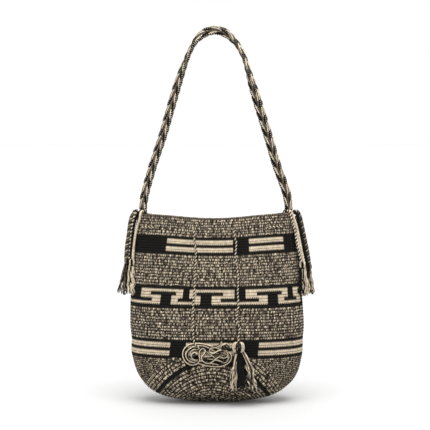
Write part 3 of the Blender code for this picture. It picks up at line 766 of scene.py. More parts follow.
def stitch_share(stitch, row):
    """How far round a stitch lies: stitches are a little wider on the front, and columns lean left going down."""
    turn = (stitch + ROW_LEAN * row) / STITCHES_ROUND
    return turn + FRONT_SPREAD / (2 * math.pi) * (1 - np.cos(2 * math.pi * turn))


def photo_stitch(pixel, row):
    """The stitch that the photograph shows at a pixel from the left, in a row."""
    stitches = np.arange(0, STITCHES_ROUND / 2, 0.05)
    places = on_net(WALL_POINTS, stitch_share(stitches, row), np.full(len(stitches), row_level(row)))
    seen = ORIGIN_PIXELS[0] + places[:, 0] / PIXEL * (1 - places[:, 1] / CAMERA_DISTANCE)
    return float(np.interp(-pixel, -seen, stitches))


# The chart's codes
BLACK, CREAM, MOTTLED, DOTTED = range(4)

# Where the black blocks, and a wide stem of the key, lie along the front, in pixels of the photograph from the left
BLACK_BLOCKS = {
    "crochet_first_band": ((283.0, 297.0), (233.0, 250.0), (136.0, 166.5)),
    "crochet_low_band": ((244.0, 259.0), (169.0, 185.0)),
}
KEY_STEM = 239.8
STRIPE_ROWS = (BLACK, CREAM, CREAM, BLACK, CREAM, CREAM, BLACK)

# The middle band's stepped key, from the middle of its narrow stem to the middle of its wide one, 24 stitches
# on. For each row from the top, where each stretch of a colour ends.
KEY_ROWS = (
    ((BLACK, 24.0),),
    ((BLACK, 1.5), (CREAM, 21.2), (BLACK, 24.0)),
    ((BLACK, 1.5), (CREAM, 4.5), (BLACK, 17.0), (CREAM, 21.2), (BLACK, 24.0)),
    ((BLACK, 1.5), (CREAM, 6.4), (BLACK, 11.6), (CREAM, 21.2), (BLACK, 24.0)),
    ((BLACK, 4.0), (CREAM, 6.4), (BLACK, 11.6), (CREAM, 15.6), (BLACK, 24.0)),
    ((CREAM, 6.4), (BLACK, 11.6), (CREAM, 24.0)),
    ((BLACK, 24.0),),
)
KEY_HALF = 24.0


def block_stretches(pixels, middle_row):
    """The black blocks of a striped band as stretches of stitches: those of the front and the same at the back."""
    front = [(photo_stitch(right, middle_row), photo_stitch(left, middle_row)) for left, right in pixels]
    return front + [(start + STITCHES_ROUND / 2, end + STITCHES_ROUND / 2) for start, end in front]


def chart_colour(zone, row, stitches):
    """The chart's code for each stitch of a row."""
    middle = FIRST_ROWS[zone] + len(STRIPE_ROWS) / 2
    if zone in BLACK_BLOCKS:
        colours = np.full(len(stitches), STRIPE_ROWS[row])
        for start, end in block_stretches(BLACK_BLOCKS[zone], middle):
            colours[((stitches - round(start)) % STITCHES_ROUND) < (round(end) - round(start))] = BLACK
        return colours
    if zone == "crochet_middle_band":
        wide = round(photo_stitch(KEY_STEM, middle) - 0.5) + 0.5
        along = np.abs(((stitches + 0.5 - wide) + KEY_HALF) % (2 * KEY_HALF) - KEY_HALF)
        from_narrow = KEY_HALF - along
        colours = np.full(len(stitches), BLACK)
        start = 0.0
        for colour, end in KEY_ROWS[row]:
            colours[(from_narrow >= start) & (from_narrow <= end)] = colour
            start = end
        return colours
    return np.full(len(stitches), MOTTLED)


# Yarn plied from black and cream: its tones, and how often each shows in its flecks, in a stitch's light leg, in its
# dark leg and in the dots of the base
MOTTLE_TONES = np.array([
    (0.030, 0.025, 0.018), TONES["brown"], TONES["grey"], (0.470, 0.395, 0.292), TONES["cream"],
])
MOTTLE_SHARES = (0.22, 0.24, 0.24, 0.30, 0.0)
LIGHT_LEG_SHARES = (0.0, 0.10, 0.34, 0.38, 0.18)
DARK_LEG_SHARES = (0.52, 0.34, 0.14, 0.0, 0.0)
DOT_SHARES = (0.38, 0.11, 0.12, 0.0, 0.39)
FLECK_CHANCE = 0.22
DOT_CHANCE = 0.5
DYE_VARIATION = 0.10
FLECK_VARIATION = 0.15
FLECK_LIMITS = (0.4, 1.7)

# For each code, the plain tone, and how light the three lines of a row are from its top: painted shade on the top
# line, where the rows meet, and a painted highlight on the middle line, the row's crest
PLAIN_TONES = np.array([TONES[tone] for tone in ("black", "cream", "black", "black")])
PAINTED_ROW_SHADE_AND_HIGHLIGHT = np.array([(0.10, 2.60, 1.20), (0.50, 1.12, 0.98), (0.12, 1.26, 0.92), (0.12, 1.26, 0.92)])

# How much of the next row's tone a cream stitch takes on at its foot, step by step across it
TEETH = np.array([1.0, 0.55, 0.0, 0.0, 0.55, 1.0])[:, None]


def pick_tones(shape, shares):
    """Numbers of the plied yarn's tones, drawn by their shares."""
    return rng.choice(len(MOTTLE_TONES), shape, p=shares)


def stitch_tones(codes):
    """The colour of every face of a block of stitches, from its chart codes in rows and stitches, with painted shade
    between the rows and a painted highlight on each row's crest.
    """
    rows, stitches = codes.shape
    legs = (rows, 1, stitches, LEGS)
    parts = (rows, DOWN_STEPS, stitches, LEGS)
    faces = (rows, DOWN_STEPS, stitches, ACROSS_STEPS)
    tones = np.broadcast_to(PLAIN_TONES[codes][:, None, :, None, :], faces + (3,)).copy()
    tones *= np.repeat(1 + DYE_VARIATION * rng.standard_normal(legs), LEG_STEPS, axis=3)[..., None]
    light = pick_tones(legs, LIGHT_LEG_SHARES)
    dark = pick_tones(legs, DARK_LEG_SHARES)
    first_is_light = rng.random((rows, 1, stitches, 1)) < 0.5
    leg = np.where(first_is_light == (np.arange(LEGS) % 2 == 0), light, dark)
    fleck = pick_tones(parts, MOTTLE_SHARES)
    mix = np.where(rng.random(parts) < FLECK_CHANCE, fleck, leg)
    dot = pick_tones(legs, DOT_SHARES)
    mix = np.where((codes == DOTTED)[:, None, :, None] & (rng.random(parts) < DOT_CHANCE), dot, mix)
    mottled = MOTTLE_TONES[np.repeat(mix, LEG_STEPS, axis=3)]
    mottled = mottled * (1 + FLECK_VARIATION * rng.standard_normal(faces))[..., None].clip(*FLECK_LIMITS)
    tones = np.where((codes >= MOTTLED)[:, None, :, None, None], mottled, tones)
    # Painted light and shade: each row's top line is darkened as shade between the rows, and its middle line is
    # lightened as a highlight on its crest
    tones = tones * PAINTED_ROW_SHADE_AND_HIGHLIGHT[codes].transpose(0, 2, 1)[..., None, None]
    cream = (codes[:-1] == CREAM)[:, :, None, None]
    toothed = TEETH * tones[1:, 1] + (1 - TEETH) * tones[:-1, 2]
    tones[:-1, 2] = np.where(cream, toothed, tones[:-1, 2])
    return tones


def crochet_block(place, rows, stitches, codes):
    """Stitches as a net of pillowed legs. place turns stitch and row numbers into points and outward directions."""
    across, down = stitches * ACROSS_STEPS, rows * DOWN_STEPS + 1
    column = np.arange(across) / ACROSS_STEPS
    point = STITCH_POINT * (1 - np.abs(2 * (column % 1.0) - 1))
    stitch, row = np.meshgrid(column, np.arange(down) / DOWN_STEPS)
    points, out = place(stitch, row + point[None, :])
    on_leg = (np.arange(across) % LEG_STEPS) != 0
    on_row = (np.arange(down) % DOWN_STEPS) != 0
    relief = on_row[:, None] * on_leg[None, :] * STITCH_RELIEF - STITCH_RELIEF * STITCH_SINK
    points = points + out * relief[..., None]
    i, j, faces = net_cells(down - 1, across)
    lean = np.where((j // LEG_STEPS) % 2 == 0, 1.0, -1.0)
    left, right = lean * (j % LEG_STEPS) / LEG_STEPS, lean * (j % LEG_STEPS + 1) / LEG_STEPS
    runs = corner_runs(i / DOWN_STEPS, (i + 1) / DOWN_STEPS, left, right)
    downward = [0, 3, 2, 1]
    faces, runs = faces[..., downward].reshape(-1, 4), runs[..., downward, :].reshape(-1, 4, 3)
    return points.reshape(-1, 3), faces, stitch_tones(codes).reshape(-1, 3), runs


def wall_place(first_row):
    """Places of stitches on the wall, counted from a row."""
    def place(stitch, row):
        row = row + first_row
        return wall_at(stitch_share(stitch, row), row_level(row))
    return place


# The round base: its rows run on under the foot of the wall's own
BASE_MIDDLE = np.array([-0.0060, 0.0, RIM_TOP - BAG_HEIGHT])
BASE_RADIUS = 0.0950
BASE_RING_ROWS = 1
BASE_ROW = 0.0050
BASE_STITCH = 0.0037
BASE_OVERLAP_ROWS = 4
BASE_TURN = 0.37
BASE_LIFT = 0.0004
BASE_ABOVE_BAND = 0.0012
WALL_BELOW_EDGE = 0.004
BASE_TOP = 0.30
BASE_NET = (260, 240)
BASE_RING_POINTS = 361


def base_rings():
    """Distances from the middle of the base, and the heights and the even shares round the bag at each of them."""
    shares = np.linspace(0, 1, ROUND_STEPS + 1)
    levels = 1.0 - np.linspace(0, math.sqrt(BASE_TOP), BASE_NET[0]) ** 2
    share_net, level_net = np.meshgrid(shares, levels)
    points = on_net(WALL_POINTS, share_net, level_net)
    reach = np.maximum.accumulate(np.linalg.norm(points - BASE_MIDDLE, axis=2), axis=0)
    distances = np.linspace(0.0, BASE_RADIUS + BASE_ROW * (BASE_OVERLAP_ROWS + 2), BASE_NET[1])
    found = np.array([np.interp(distances, reach[:, k], levels) for k in range(len(shares))]).T
    rings = []
    for row in found:
        ring = on_net(WALL_POINTS, shares, row)
        lengths = lengths_along(ring)
        even = np.linspace(0, lengths[-1], ROUND_STEPS + 1)
        rings.append(np.interp(even, lengths, shares) if lengths[-1] > 1e-6 else shares)
    return distances, found, np.array(rings)


BASE_DISTANCES, BASE_LEVELS, BASE_SHARES = base_rings()


def on_base(turn, distance):
    """Places on the base at a share of the way round and a distance from its middle."""
    row = np.clip(distance / BASE_DISTANCES[-1], 0, 1) * (len(BASE_DISTANCES) - 1)
    share = read_net(BASE_SHARES, row, (turn % 1.0) * ROUND_STEPS)
    return share, read_net(BASE_LEVELS, row, share * ROUND_STEPS)


def keep_faces(points, faces, tones, runs, wanted):
    """A net without the faces that aren't wanted."""
    faces, tones, runs = faces[wanted], tones[wanted], runs[wanted]
    used, place = np.unique(faces, return_inverse=True)
    return points[used], place.reshape(-1, 4), tones, runs


# How far round an eyelet's middle the wall is drawn in and opened
EYELET_DEPTH = 0.012
EYELET_HOLE = 0.0019
EYELET_EDGE = 0.0016
EYELET_FADE = 0.0034


def off_line(places, direction):
    """How far places lie from a line through zero."""
    return np.linalg.norm(places - np.outer(places @ direction, direction), axis=1)


def open_eyelets(points, out_sign, faces, tones, runs):
    """Draws the wall in round each eyelet and opens it there."""
    wanted = np.ones(len(faces), bool)
    for share in FRONT_EYELETS + BACK_EYELETS:
        middle = off_wall(share, EYELET_LEVEL, 0.0)
        out = on_net(WALL_OUT, np.array(share), np.array(EYELET_LEVEL))
        away = points - middle
        reach = off_line(away, out)
        near = (reach < EYELET_DIAMETER) & (np.linalg.norm(away, axis=1) < EYELET_DEPTH)
        centres = points[faces].mean(axis=1) - middle
        wanted &= (off_line(centres, out) >= EYELET_HOLE) | (np.linalg.norm(centres, axis=1) >= EYELET_DEPTH)
        pull = np.clip(1 - (reach[near] - EYELET_EDGE) / EYELET_FADE, 0, 1) ** 1.5
        points[near] -= np.outer(pull * WALL / 2 * out_sign, out)
    return keep_faces(points, faces, tones, runs, wanted)


def crochet_wall():
    """The wall's outside, zone by zone, with its bands."""
    for zone, _, rows in ZONES:
        codes = np.array([chart_colour(zone, row, np.arange(STITCHES_ROUND)) for row in range(rows)])
        block = crochet_block(wall_place(FIRST_ROWS[zone]), rows, STITCHES_ROUND, codes)
        if zone == "crochet_upper":
            block = open_eyelets(block[0], 1.0, *block[1:])
        if zone == "crochet_sides_of_base":
            reach = np.linalg.norm(block[0][block[1]].mean(axis=1) - BASE_MIDDLE, axis=1)
            block = keep_faces(*block, reach > BASE_RADIUS + BASE_ROW * BASE_OVERLAP_ROWS - WALL_BELOW_EDGE)
        make_piece(zone, *block, CROCHET, "crochet", ["bag_body"])


def crochet_base():
    """The round base, folded to a keel, row by row from its middle, with a black ring near its edge."""
    heap = Heap()
    rows = round(BASE_RADIUS / BASE_ROW) + BASE_OVERLAP_ROWS
    for row in range(rows):
        near = BASE_ROW * row
        turns = on_base(np.linspace(0, 1, BASE_RING_POINTS), np.full(BASE_RING_POINTS, near + BASE_ROW / 2))
        ring = on_net(WALL_POINTS, *turns)
        count = max(6, round(route_length(ring) / BASE_STITCH))
        black = rows - BASE_OVERLAP_ROWS - BASE_RING_ROWS <= row < rows - BASE_OVERLAP_ROWS
        codes = np.full((1, count), BLACK if black else DOTTED)

        def place(stitch, line, near=near, count=count, row=row):
            turn = (stitch + BASE_TURN * row) / count
            points, out = wall_at(*on_base(turn, np.maximum(near + (1 - line) * BASE_ROW, 0.0)))
            return points + out * BASE_LIFT, out

        block = crochet_block(place, 1, count, codes)
        heights = block[0][block[1]].mean(axis=1)[:, 2]
        heap.add(*keep_faces(*block, heights < RIM_TOP - BAG_HEIGHT * LOW_BAND_END + BASE_ABOVE_BAND))
    heap.piece("crochet_base", CROCHET, "crochet", ["bag_body"])


# The wall's inner face: quads round it, its rows above a height share and those below, which close it, and the share
INSIDE_ROUND = 336
INSIDE_ROWS = (62, 20)
INSIDE_LOW = 0.12
RIM_POINTS = 1153
RIM_RADIUS = 0.0017
RIM_LIFT = (0.0004, 0.0005)


def wall_inside():
    """The wall's inner face, and the rolled edge of the rim."""
    upper = np.linspace(0, 1 - INSIDE_LOW, INSIDE_ROWS[0], endpoint=False)
    levels = np.concatenate([upper, 1.0 - np.linspace(INSIDE_LOW ** 0.5, 0.02, INSIDE_ROWS[1]) ** 2])
    points, out = wall_at(*np.meshgrid(np.arange(INSIDE_ROUND) / INSIDE_ROUND, levels))
    points = (points - out * WALL).reshape(-1, 3)
    i, j, faces = net_cells(len(levels) - 1, INSIDE_ROUND)
    tones = MOTTLE_TONES[pick_tones(i.shape, MOTTLE_SHARES)]
    runs = corner_runs(i, i + 1, j, j + 1)
    block = open_eyelets(points, -1.0, faces.reshape(-1, 4), tones.reshape(-1, 3), runs.reshape(-1, 4, 3))
    make_piece("crochet_inside", *block, CROCHET, "crochet", ["bag_body"])
    heap = Heap()
    turns = np.linspace(0, 1, RIM_POINTS)
    path = off_wall(turns, np.zeros(len(turns)), np.full(len(turns), -WALL / 2))
    wave = np.abs(np.sin(2 * math.pi * turns * STITCHES_ROUND))
    path[:, 2] += RIM_LIFT[0] + RIM_LIFT[1] * wave
    strand(heap, path, RIM_RADIUS * (1 + 0.10 * wave), ("brown", "grey"), 2, 0.004, 8, 0.5, 0.8, 1.0)
    heap.piece("rim_edge", CROCHET, "crochet", ["bag_body"])


# ---- Cords ----

def held_route():
    """The stretch of the drawstring that the bag holds, in and out of the eyelets."""
    crossings = [*FRONT_EYELETS[3:], *BACK_EYELETS, *(1.0 + share for share in FRONT_EYELETS[:3])]
    outer = CORD_DIAMETER / 2 + CORD_LIFT
    inner = -WALL - outer
    middle, half = (outer + inner) / 2, (outer - inner) / 2
    reach = EYELET_DIAMETER / 2 / wall_ring(EYELET_LEVEL)[1]
    stations = [(crossings[0], EXIT_LENGTH), (crossings[0], -WALL / 2)]
    stations += [(crossings[0] + reach * IN_EYELET, inner * IN_EYELET)]
    outside = False
    for here, there in zip(crossings, crossings[1:]):
        inset = 0.0 if outside else CORNER_LIFT
        beside = reach * BESIDE_EYELET
        stations += run_between(here + beside, there - beside, outer if outside else inner, inset)
        if there != crossings[-1]:
            turn = -1 if outside else 1
            stations += [(there + side * reach, middle + turn * half * swing) for side, swing in CROSSING]
            outside = not outside
    stations += [(crossings[-1] - reach * IN_EYELET, inner * IN_EYELET)]
    stations += [(crossings[-1], -WALL / 2), (crossings[-1], EXIT_LENGTH)]
    shares, outward = np.array(stations).T
    return off_wall(shares, np.full(len(shares), EYELET_LEVEL), outward)


def run_between(start, end, outward, inset):
    """Evenly spaced stations of the drawstring between two eyelets, further in where the bag turns its side."""
    length = wall_ring(EYELET_LEVEL)[1]
    count = max(1, round((end - start) * length / (CORD_DIAMETER * STATION_GAP)))
    stations = []
    for k in range(count + 1):
        place = start + (end - start) * k / count
        from_side = abs(2 * place - round(2 * place)) / SIDE_TURN
        stations.append((place, outward - inset * max(0.0, 1.0 - from_side)))
    return stations


def free_route(share, route):
    """A free end of the drawstring: out of its eyelet, then down the front of the bag."""
    start = off_wall(share, EYELET_LEVEL, EXIT_LENGTH + GAP)
    points = [off_wall(share, EYELET_LEVEL, EXIT_LENGTH + GAP + CORD_DIAMETER / 2)]
    for across, below, stand_off in route:
        points.append(np.array((across, front_face(across, below) - stand_off, -below)))
    return start, points


CORD_STEP = 0.0007
FRONT_CORD_IN_TASSEL = 0.026
SIDE_CORD_IN_TASSEL = 0.006
THICK_CORD = 0.0035
THIN_CORD_FULLNESS = 1.65
THICK_CORD_FULLNESS = 1.50
CORD_PITCH = 0.0058

# The hank: places of the cord in pixels of the photograph from the left and from the top, and its layer off the bag
HANK_TURNS = (
    (198.6, 353.0, 2.6), (200.2, 357.4, 2.7), (197.6, 360.6, 2.2), (194.4, 358.6, 1.9), (191.4, 361.4, 1.6),
    (193.6, 365.0, 1.4), (199.0, 365.6, 1.2), (206.0, 367.2, 0.9), (213.0, 369.0, 0.7), (220.0, 370.0, 0.5),
    (226.0, 368.6, 0.3), (228.4, 364.4, 0.2), (225.6, 360.4, 0.1), (219.0, 358.2, 0.0), (212.0, 355.4, 0.0),
    (205.0, 352.4, 0.0), (198.0, 352.0, 0.0), (191.4, 353.4, 0.0), (187.6, 357.0, 0.0), (187.0, 361.6, 0.0),
    (190.4, 365.6, 0.0), (198.0, 367.0, 0.0), (208.0, 365.4, 0.0), (218.0, 366.0, 0.0), (225.6, 367.4, 0.0),
    (229.8, 363.2, 0.1), (225.4, 358.6, 0.1), (216.0, 360.4, 0.2), (206.0, 362.4, 0.2), (197.0, 361.8, 0.2),
    (190.6, 358.6, 0.2), (193.4, 355.0, 0.2), (200.0, 355.2, 0.2), (208.0, 358.6, 0.3), (216.0, 363.6, 0.3),
    (222.6, 365.0, 0.3), (226.8, 361.8, 0.4), (224.6, 357.6, 0.4), (218.0, 356.4, 0.5), (210.0, 353.6, 0.5),
    (202.0, 351.6, 0.6), (194.0, 352.4, 0.7), (188.2, 355.8, 0.8), (185.9, 360.6, 1.0), (188.0, 365.4, 1.0),
    (193.2, 368.0, 1.0), (200.0, 369.4, 1.0), (207.0, 371.2, 1.1), (214.0, 372.2, 1.2), (221.0, 371.8, 1.3),
    (227.4, 369.2, 1.4), (230.9, 364.6, 1.5), (230.0, 359.6, 1.5), (224.6, 356.6, 1.4), (217.6, 354.6, 1.2),
    (210.4, 351.8, 1.0), (203.0, 349.8, 0.8), (195.6, 349.2, 0.7), (188.6, 350.8, 0.7), (184.0, 355.2, 0.8),
    (182.9, 361.2, 1.0), (185.4, 367.0, 1.1), (190.4, 370.4, 1.4), (196.0, 369.8, 1.9), (199.0, 366.0, 2.4),
    (198.4, 360.8, 2.9), (199.4, 356.4, 3.1), (202.6, 354.0, 3.2), (205.6, 356.2, 3.2), (204.4, 360.0, 3.2),
    (201.9, 363.4, 3.2), (203.2, 367.2, 3.2), (207.6, 369.2, 3.2), (212.2, 367.6, 3.2), (215.8, 364.2, 3.1),
    (220.0, 362.4, 3.0), (224.4, 363.6, 2.8), (227.6, 360.8, 2.5), (225.0, 357.2, 2.3), (219.0, 356.8, 2.2),
    (213.4, 359.6, 2.2), (209.0, 357.8, 2.3), (210.2, 353.8, 2.3), (215.6, 352.8, 2.2), (219.6, 350.6, 2.1),
    (221.4, 347.0, 1.9),
)
HANK_Y = -0.0566
HANK_LAYER = 0.0022
HANGING_CORD = 0.00160
HANK_CORD = 0.00150
DEEP_LAYERS = 0.6
DEEP_TWISTS = 11


def from_photo(pixel_x, pixel_y, y):
    """The point at a depth that the photograph shows at a pixel."""
    nearer = 1 + y / CAMERA_DISTANCE
    x = (pixel_x - ORIGIN_PIXELS[0]) * PIXEL * nearer
    z = -(pixel_y - ORIGIN_PIXELS[1]) * PIXEL * nearer - y * math.tan(CAMERA_RISE)
    return np.array((x, y, z))


def hank_route():
    """The cord's turns in the hank."""
    return [from_photo(x, z, HANK_Y - layer * HANK_LAYER) for x, z, layer in HANK_TURNS]


def drawstrings():
    """The held drawstring, and its two free ends with the hank, the knot and the front tassel."""
    heap = Heap()
    strand(heap, smooth_route(held_route(), CORD_STEP), CORD_DIAMETER / 2, ("black", "cream"), 2, CORD_PITCH, 12)
    heap.piece("held_drawstring", CORD, "mottled_yarn", ["drawstring_round_mouth"])
    start, points = free_route(FRONT_EYELETS[3], DRAWSTRING_LEFT_ROUTE)
    path = np.concatenate([[start], smooth_route(points[:-1] + hank_route(), CORD_STEP)])
    heap = Heap()
    split = int(np.argmin(np.linalg.norm(path - hank_route()[0], axis=1)))
    strand(heap, path[:split + 2], HANGING_CORD, ("black", "cream"), 2, CORD_PITCH, 12)
    deep = np.flatnonzero((HANK_Y - path[split:, 1]) / HANK_LAYER < DEEP_LAYERS)
    turned = np.interp(np.arange(len(path) - split), (deep[0], deep[-1]), (0, 2 * math.pi * DEEP_TWISTS))
    strand(heap, path[split:], HANK_CORD, ("black", "cream"), 2, 1.0, 12, turned=turned)
    left = heap.piece("left_drawstring", CORD, "mottled_yarn", ["drawstring_left", "cord_hank"])
    wound_knot()
    start, points = free_route(FRONT_EYELETS[2], DRAWSTRING_RIGHT_ROUTE)
    points.append(np.array((FRONT_TASSEL_X, points[-1][1], points[-1][2] - FRONT_CORD_IN_TASSEL)))
    path = np.concatenate([[start], smooth_route(points, CORD_STEP)])
    heap = Heap()
    strand(heap, path, HANGING_CORD, ("black", "cream"), 2, CORD_PITCH, 12)
    right = heap.piece("right_drawstring", CORD, "mottled_yarn", ["drawstring_right"])
    front_tassel()


KNOT_MIDDLE = np.array((0.0136, 0.0, -0.4925))
KNOT_RADIUS = 0.0064
KNOT_STAND_OFF = 0.0066
KNOT_TURNS = 9
KNOT_CORD = 0.0013
KNOT_LOOP_YARN = 0.00085
KNOT_POINTS = 420
KNOT_LOOP_POINTS = 16
KNOT_SHAPE = np.array([0.92, 0.72, 0.92])
KNOT_LOOP_SHAPE = np.array([1.02, 1.0, 1.06])
KNOT_LOOP_DEPTH = 0.75

# The cream loops over the knot: where each starts and ends, in degrees, how far it stands forward, its reach
KNOT_LOOPS = ((200, 20, 0.5, 1.0), (175, 60, 0.9, 0.8), (-20, -150, 1.0, 0.75), (110, -30, 1.1, 0.55))


def wound_knot():
    """The small ball of cord between the hank and the tassel, wound three ways."""
    heap = Heap()
    middle = KNOT_MIDDLE.copy()
    middle[1] = front_face(middle[0], -middle[2]) - KNOT_STAND_OFF
    t = np.linspace(0, 1, KNOT_POINTS)
    spin = 2 * math.pi * KNOT_TURNS * t
    tilt = math.pi * 3 * t
    ball = np.stack([np.cos(spin), np.sin(spin) * np.cos(tilt), np.sin(spin) * np.sin(tilt)], 1)
    path = middle + ball * (KNOT_RADIUS * KNOT_SHAPE)
    strand(heap, path, KNOT_CORD, ("black", "brown"), 2, CORD_PITCH, 8)
    for first, last, forward, out in KNOT_LOOPS:
        angle = np.radians(np.linspace(first, last, KNOT_LOOP_POINTS))
        rise = -KNOT_LOOP_DEPTH * np.sin(math.pi * np.linspace(0, 1, KNOT_LOOP_POINTS)) * forward
        arc = np.stack([np.cos(angle), rise, np.sin(angle)], 1)
        strand(heap, middle + arc * (KNOT_RADIUS * KNOT_LOOP_SHAPE * out), KNOT_LOOP_YARN, ("cream",), 1, 1.0, 6)
    return heap.piece("wound_knot", CORD, "mottled_yarn", ["cord_knot"])


def side_cords(tassels):
    """The cords from the strap's feet over the rim and down the sides."""
    for name, diameter, plies, pitch, tones, route in SIDE_CORDS:
        end = (route[-1][0], route[-1][1], route[-1][2] - SIDE_CORD_IN_TASSEL)
        path = smooth_route((*route, end), CORD_STEP)
        heap = Heap()
        fullness = THIN_CORD_FULLNESS if diameter < THICK_CORD else THICK_CORD_FULLNESS
        strand(heap, path, diameter / 2 * fullness, tones, plies, pitch, 12 if plies == 2 else 15, 0.2, 0.7)
        side, kind = name.split("_")[:2]
        slot = "mottled_yarn" if kind in ("rope", "mottled") else kind + "_yarn"
        piece = heap.piece(name + "_yarn", CORD, slot, [name])


# ---- Tassels ----

# Across from the head at a lock's top, middle and end, forward at its end, length share, width, tones, strands
FRONT_LOCKS = (
    (-0.0012, -0.0080, -0.0104, 0.0010, 0.95, 0.0056, ("cream", "black"), 8),
    (-0.0006, -0.0058, -0.0046, 0.0026, 0.98, 0.0062, ("cream", "black", "grey"), 8),
    (0.0004, 0.0012, 0.0040, 0.0030, 0.93, 0.0080, ("black",), 24),
    (0.0020, 0.0056, 0.0090, 0.0024, 0.90, 0.0050, ("black",), 10),
    (0.0046, 0.0136, 0.0166, 0.0022, 0.95, 0.0064, ("cream", "black"), 8),
    (0.0034, 0.0186, 0.0240, 0.0014, 0.97, 0.0070, ("cream", "grey", "black"), 11),
)
SIDE_TASSELS = (
    ("left_outer_tassel", (-0.1425, -0.0090, -0.3617), 0.0108, 0.052, (
        (-0.0030, -0.0070, -0.0120, -0.0010, 0.96, 0.0070, ("grey", "black", "cream"), 11),
        (0.0004, -0.0022, -0.0056, 0.0010, 1.02, 0.0074, ("black", "black", "grey"), 13),
        (0.0024, 0.0010, 0.0002, 0.0000, 0.97, 0.0060, ("black", "cream", "black"), 9),
    )),
    ("left_inner_tassel", (-0.1358, -0.0182, -0.3617), 0.0080, 0.052, (
        (-0.0016, -0.0030, -0.0026, -0.0012, 0.95, 0.0060, ("cream", "black"), 8),
        (0.0014, 0.0010, 0.0010, -0.0020, 0.97, 0.0056, ("cream", "cream", "black"), 9),
    )),
    ("right_outer_tassel", (0.1478, -0.0080, -0.3701), 0.0108, 0.0437, (
        (-0.0022, -0.0008, 0.0006, 0.0000, 0.97, 0.0060, ("black", "cream", "black"), 9),
        (0.0006, 0.0022, 0.0044, 0.0006, 1.00, 0.0064, ("black", "grey"), 10),
        (0.0030, 0.0054, 0.0086, 0.0000, 0.96, 0.0056, ("grey", "black", "cream"), 9),
    )),
    ("right_inner_tassel", (0.1374, -0.0190, -0.3661), 0.0092, 0.0484, (
        (-0.0024, -0.0030, -0.0034, -0.0022, 0.94, 0.0050, ("black",), 9),
        (0.0004, 0.0018, 0.0034, -0.0014, 1.03, 0.0062, ("cream", "cream", "black"), 10),
        (0.0024, 0.0052, 0.0088, -0.0012, 1.00, 0.0054, ("cream", "black"), 9),
    )),
)
YARN_RADIUS = 0.00082
HEAD_YARN_RADIUS = 0.00085
TIE_YARN_RADIUS = 0.0007
HEAD_YARNS = 18
LOCK_DEPTH = 0.40
LOCK_SWELL = ((0, 0.25, 0.8, 1), (0.40, 0.80, 1.0, 1.15))
YARN_WAVES = ((0, 0.0024), (1, 0.0008))
HEAD_FULLNESS = 0.92
TIE_REACH = (0.29, 0.33)
TIE_DROP = 0.30
TIE_STEP = 0.0011
SIDE_TONES = 0.36
FRONT_TASSEL_X = 0.0345
FRONT_TASSEL_BELOW = 0.4925
FRONT_STAND_OFF = 0.0074
FRONT_HEAD = (0.020, 0.013, 0.0165)
FRONT_SKIRT = 0.070
SIDE_HEAD_DEPTH = 0.8
SIDE_HEAD_HEIGHT = 0.009


def yarn_lock(heap, middle, skirt, lock):
    """One lock of a tassel: loose wavy yarns that hang from the head and spread."""
    top_across, middle_across, end_across, forward, length, width, tones, count = lock
    t = np.linspace(0, 1, 19)
    across = np.interp(t, (0, 0.45, 1), (top_across, middle_across, end_across))
    across = np.convolve(np.pad(across, 2, mode="edge"), np.ones(5) / 5, "valid")
    swell = np.interp(t, *LOCK_SWELL)
    for number in range(count):
        angle = rng.uniform(0, 2 * math.pi)
        reach = math.sqrt(rng.uniform(0, 1))
        cut = rng.uniform(0.90, 1.02)
        path = np.stack([
            middle[0] + across + math.cos(angle) * width / 2 * reach * swell,
            middle[1] + forward * t + math.sin(angle) * width * LOCK_DEPTH * reach * swell,
            middle[2] - 0.001 - skirt * length * t * cut,
        ], 1)
        for axis, amount in YARN_WAVES:
            waves = rng.uniform(1.2, 3.2)
            path[:, axis] += amount * rng.uniform(0.4, 1.2) * np.sin(2 * math.pi * (waves * t + rng.uniform())) * t
        tone = tones[number % len(tones)]
        strand(heap, path, YARN_RADIUS * rng.uniform(0.75, 1.2), (tone,), 1, 1.0, 6, 0.22, taper=0.8)


def bound_head(heap, middle, size, tones, turns):
    """A tassel's head: yarns over the top and turns of yarn that bind it."""
    t = np.linspace(0, 1, 13)
    bulge = np.sin(math.pi * (0.08 + 0.80 * t ** 0.9)) ** 0.8
    for k in range(HEAD_YARNS):
        angle = 2 * math.pi * (k + 0.5) / HEAD_YARNS
        path = np.stack([
            middle[0] + size[0] / 2 * math.cos(angle) * bulge * HEAD_FULLNESS,
            middle[1] + size[1] / 2 * math.sin(angle) * bulge * HEAD_FULLNESS,
            middle[2] + size[2] / 2 * np.cos(math.pi * (0.05 + 0.9 * t)),
        ], 1)
        tone = tones[0] if abs(math.cos(angle)) > SIDE_TONES else tones[1]
        strand(heap, path, HEAD_YARN_RADIUS, (tone,), 1, 1.0, 6, 0.2)
    t = np.linspace(0, 1, 24 * turns)
    angle = 2 * math.pi * turns * t
    path = np.stack([
        middle[0] + size[0] * TIE_REACH[0] * np.cos(angle),
        middle[1] + size[1] * TIE_REACH[1] * np.sin(angle),
        middle[2] - size[2] * TIE_DROP - TIE_STEP * turns * t,
    ], 1)
    strand(heap, path, TIE_YARN_RADIUS, (tones[1],), 1, 1.0, 6, 0.2)


def front_tassel():
    """The large tassel on the drawstring's right end."""
    heap = Heap()
    y = front_face(FRONT_TASSEL_X, FRONT_TASSEL_BELOW) - FRONT_STAND_OFF
    middle = np.array((FRONT_TASSEL_X, y, -FRONT_TASSEL_BELOW))
    bound_head(heap, middle, FRONT_HEAD, ("cream", "black"), 4)
    for lock in FRONT_LOCKS:
        yarn_lock(heap, middle, FRONT_SKIRT, lock)
    return heap.piece("front_tassel_yarn", LOOSE, "cream_yarn", ["front_tassel"])


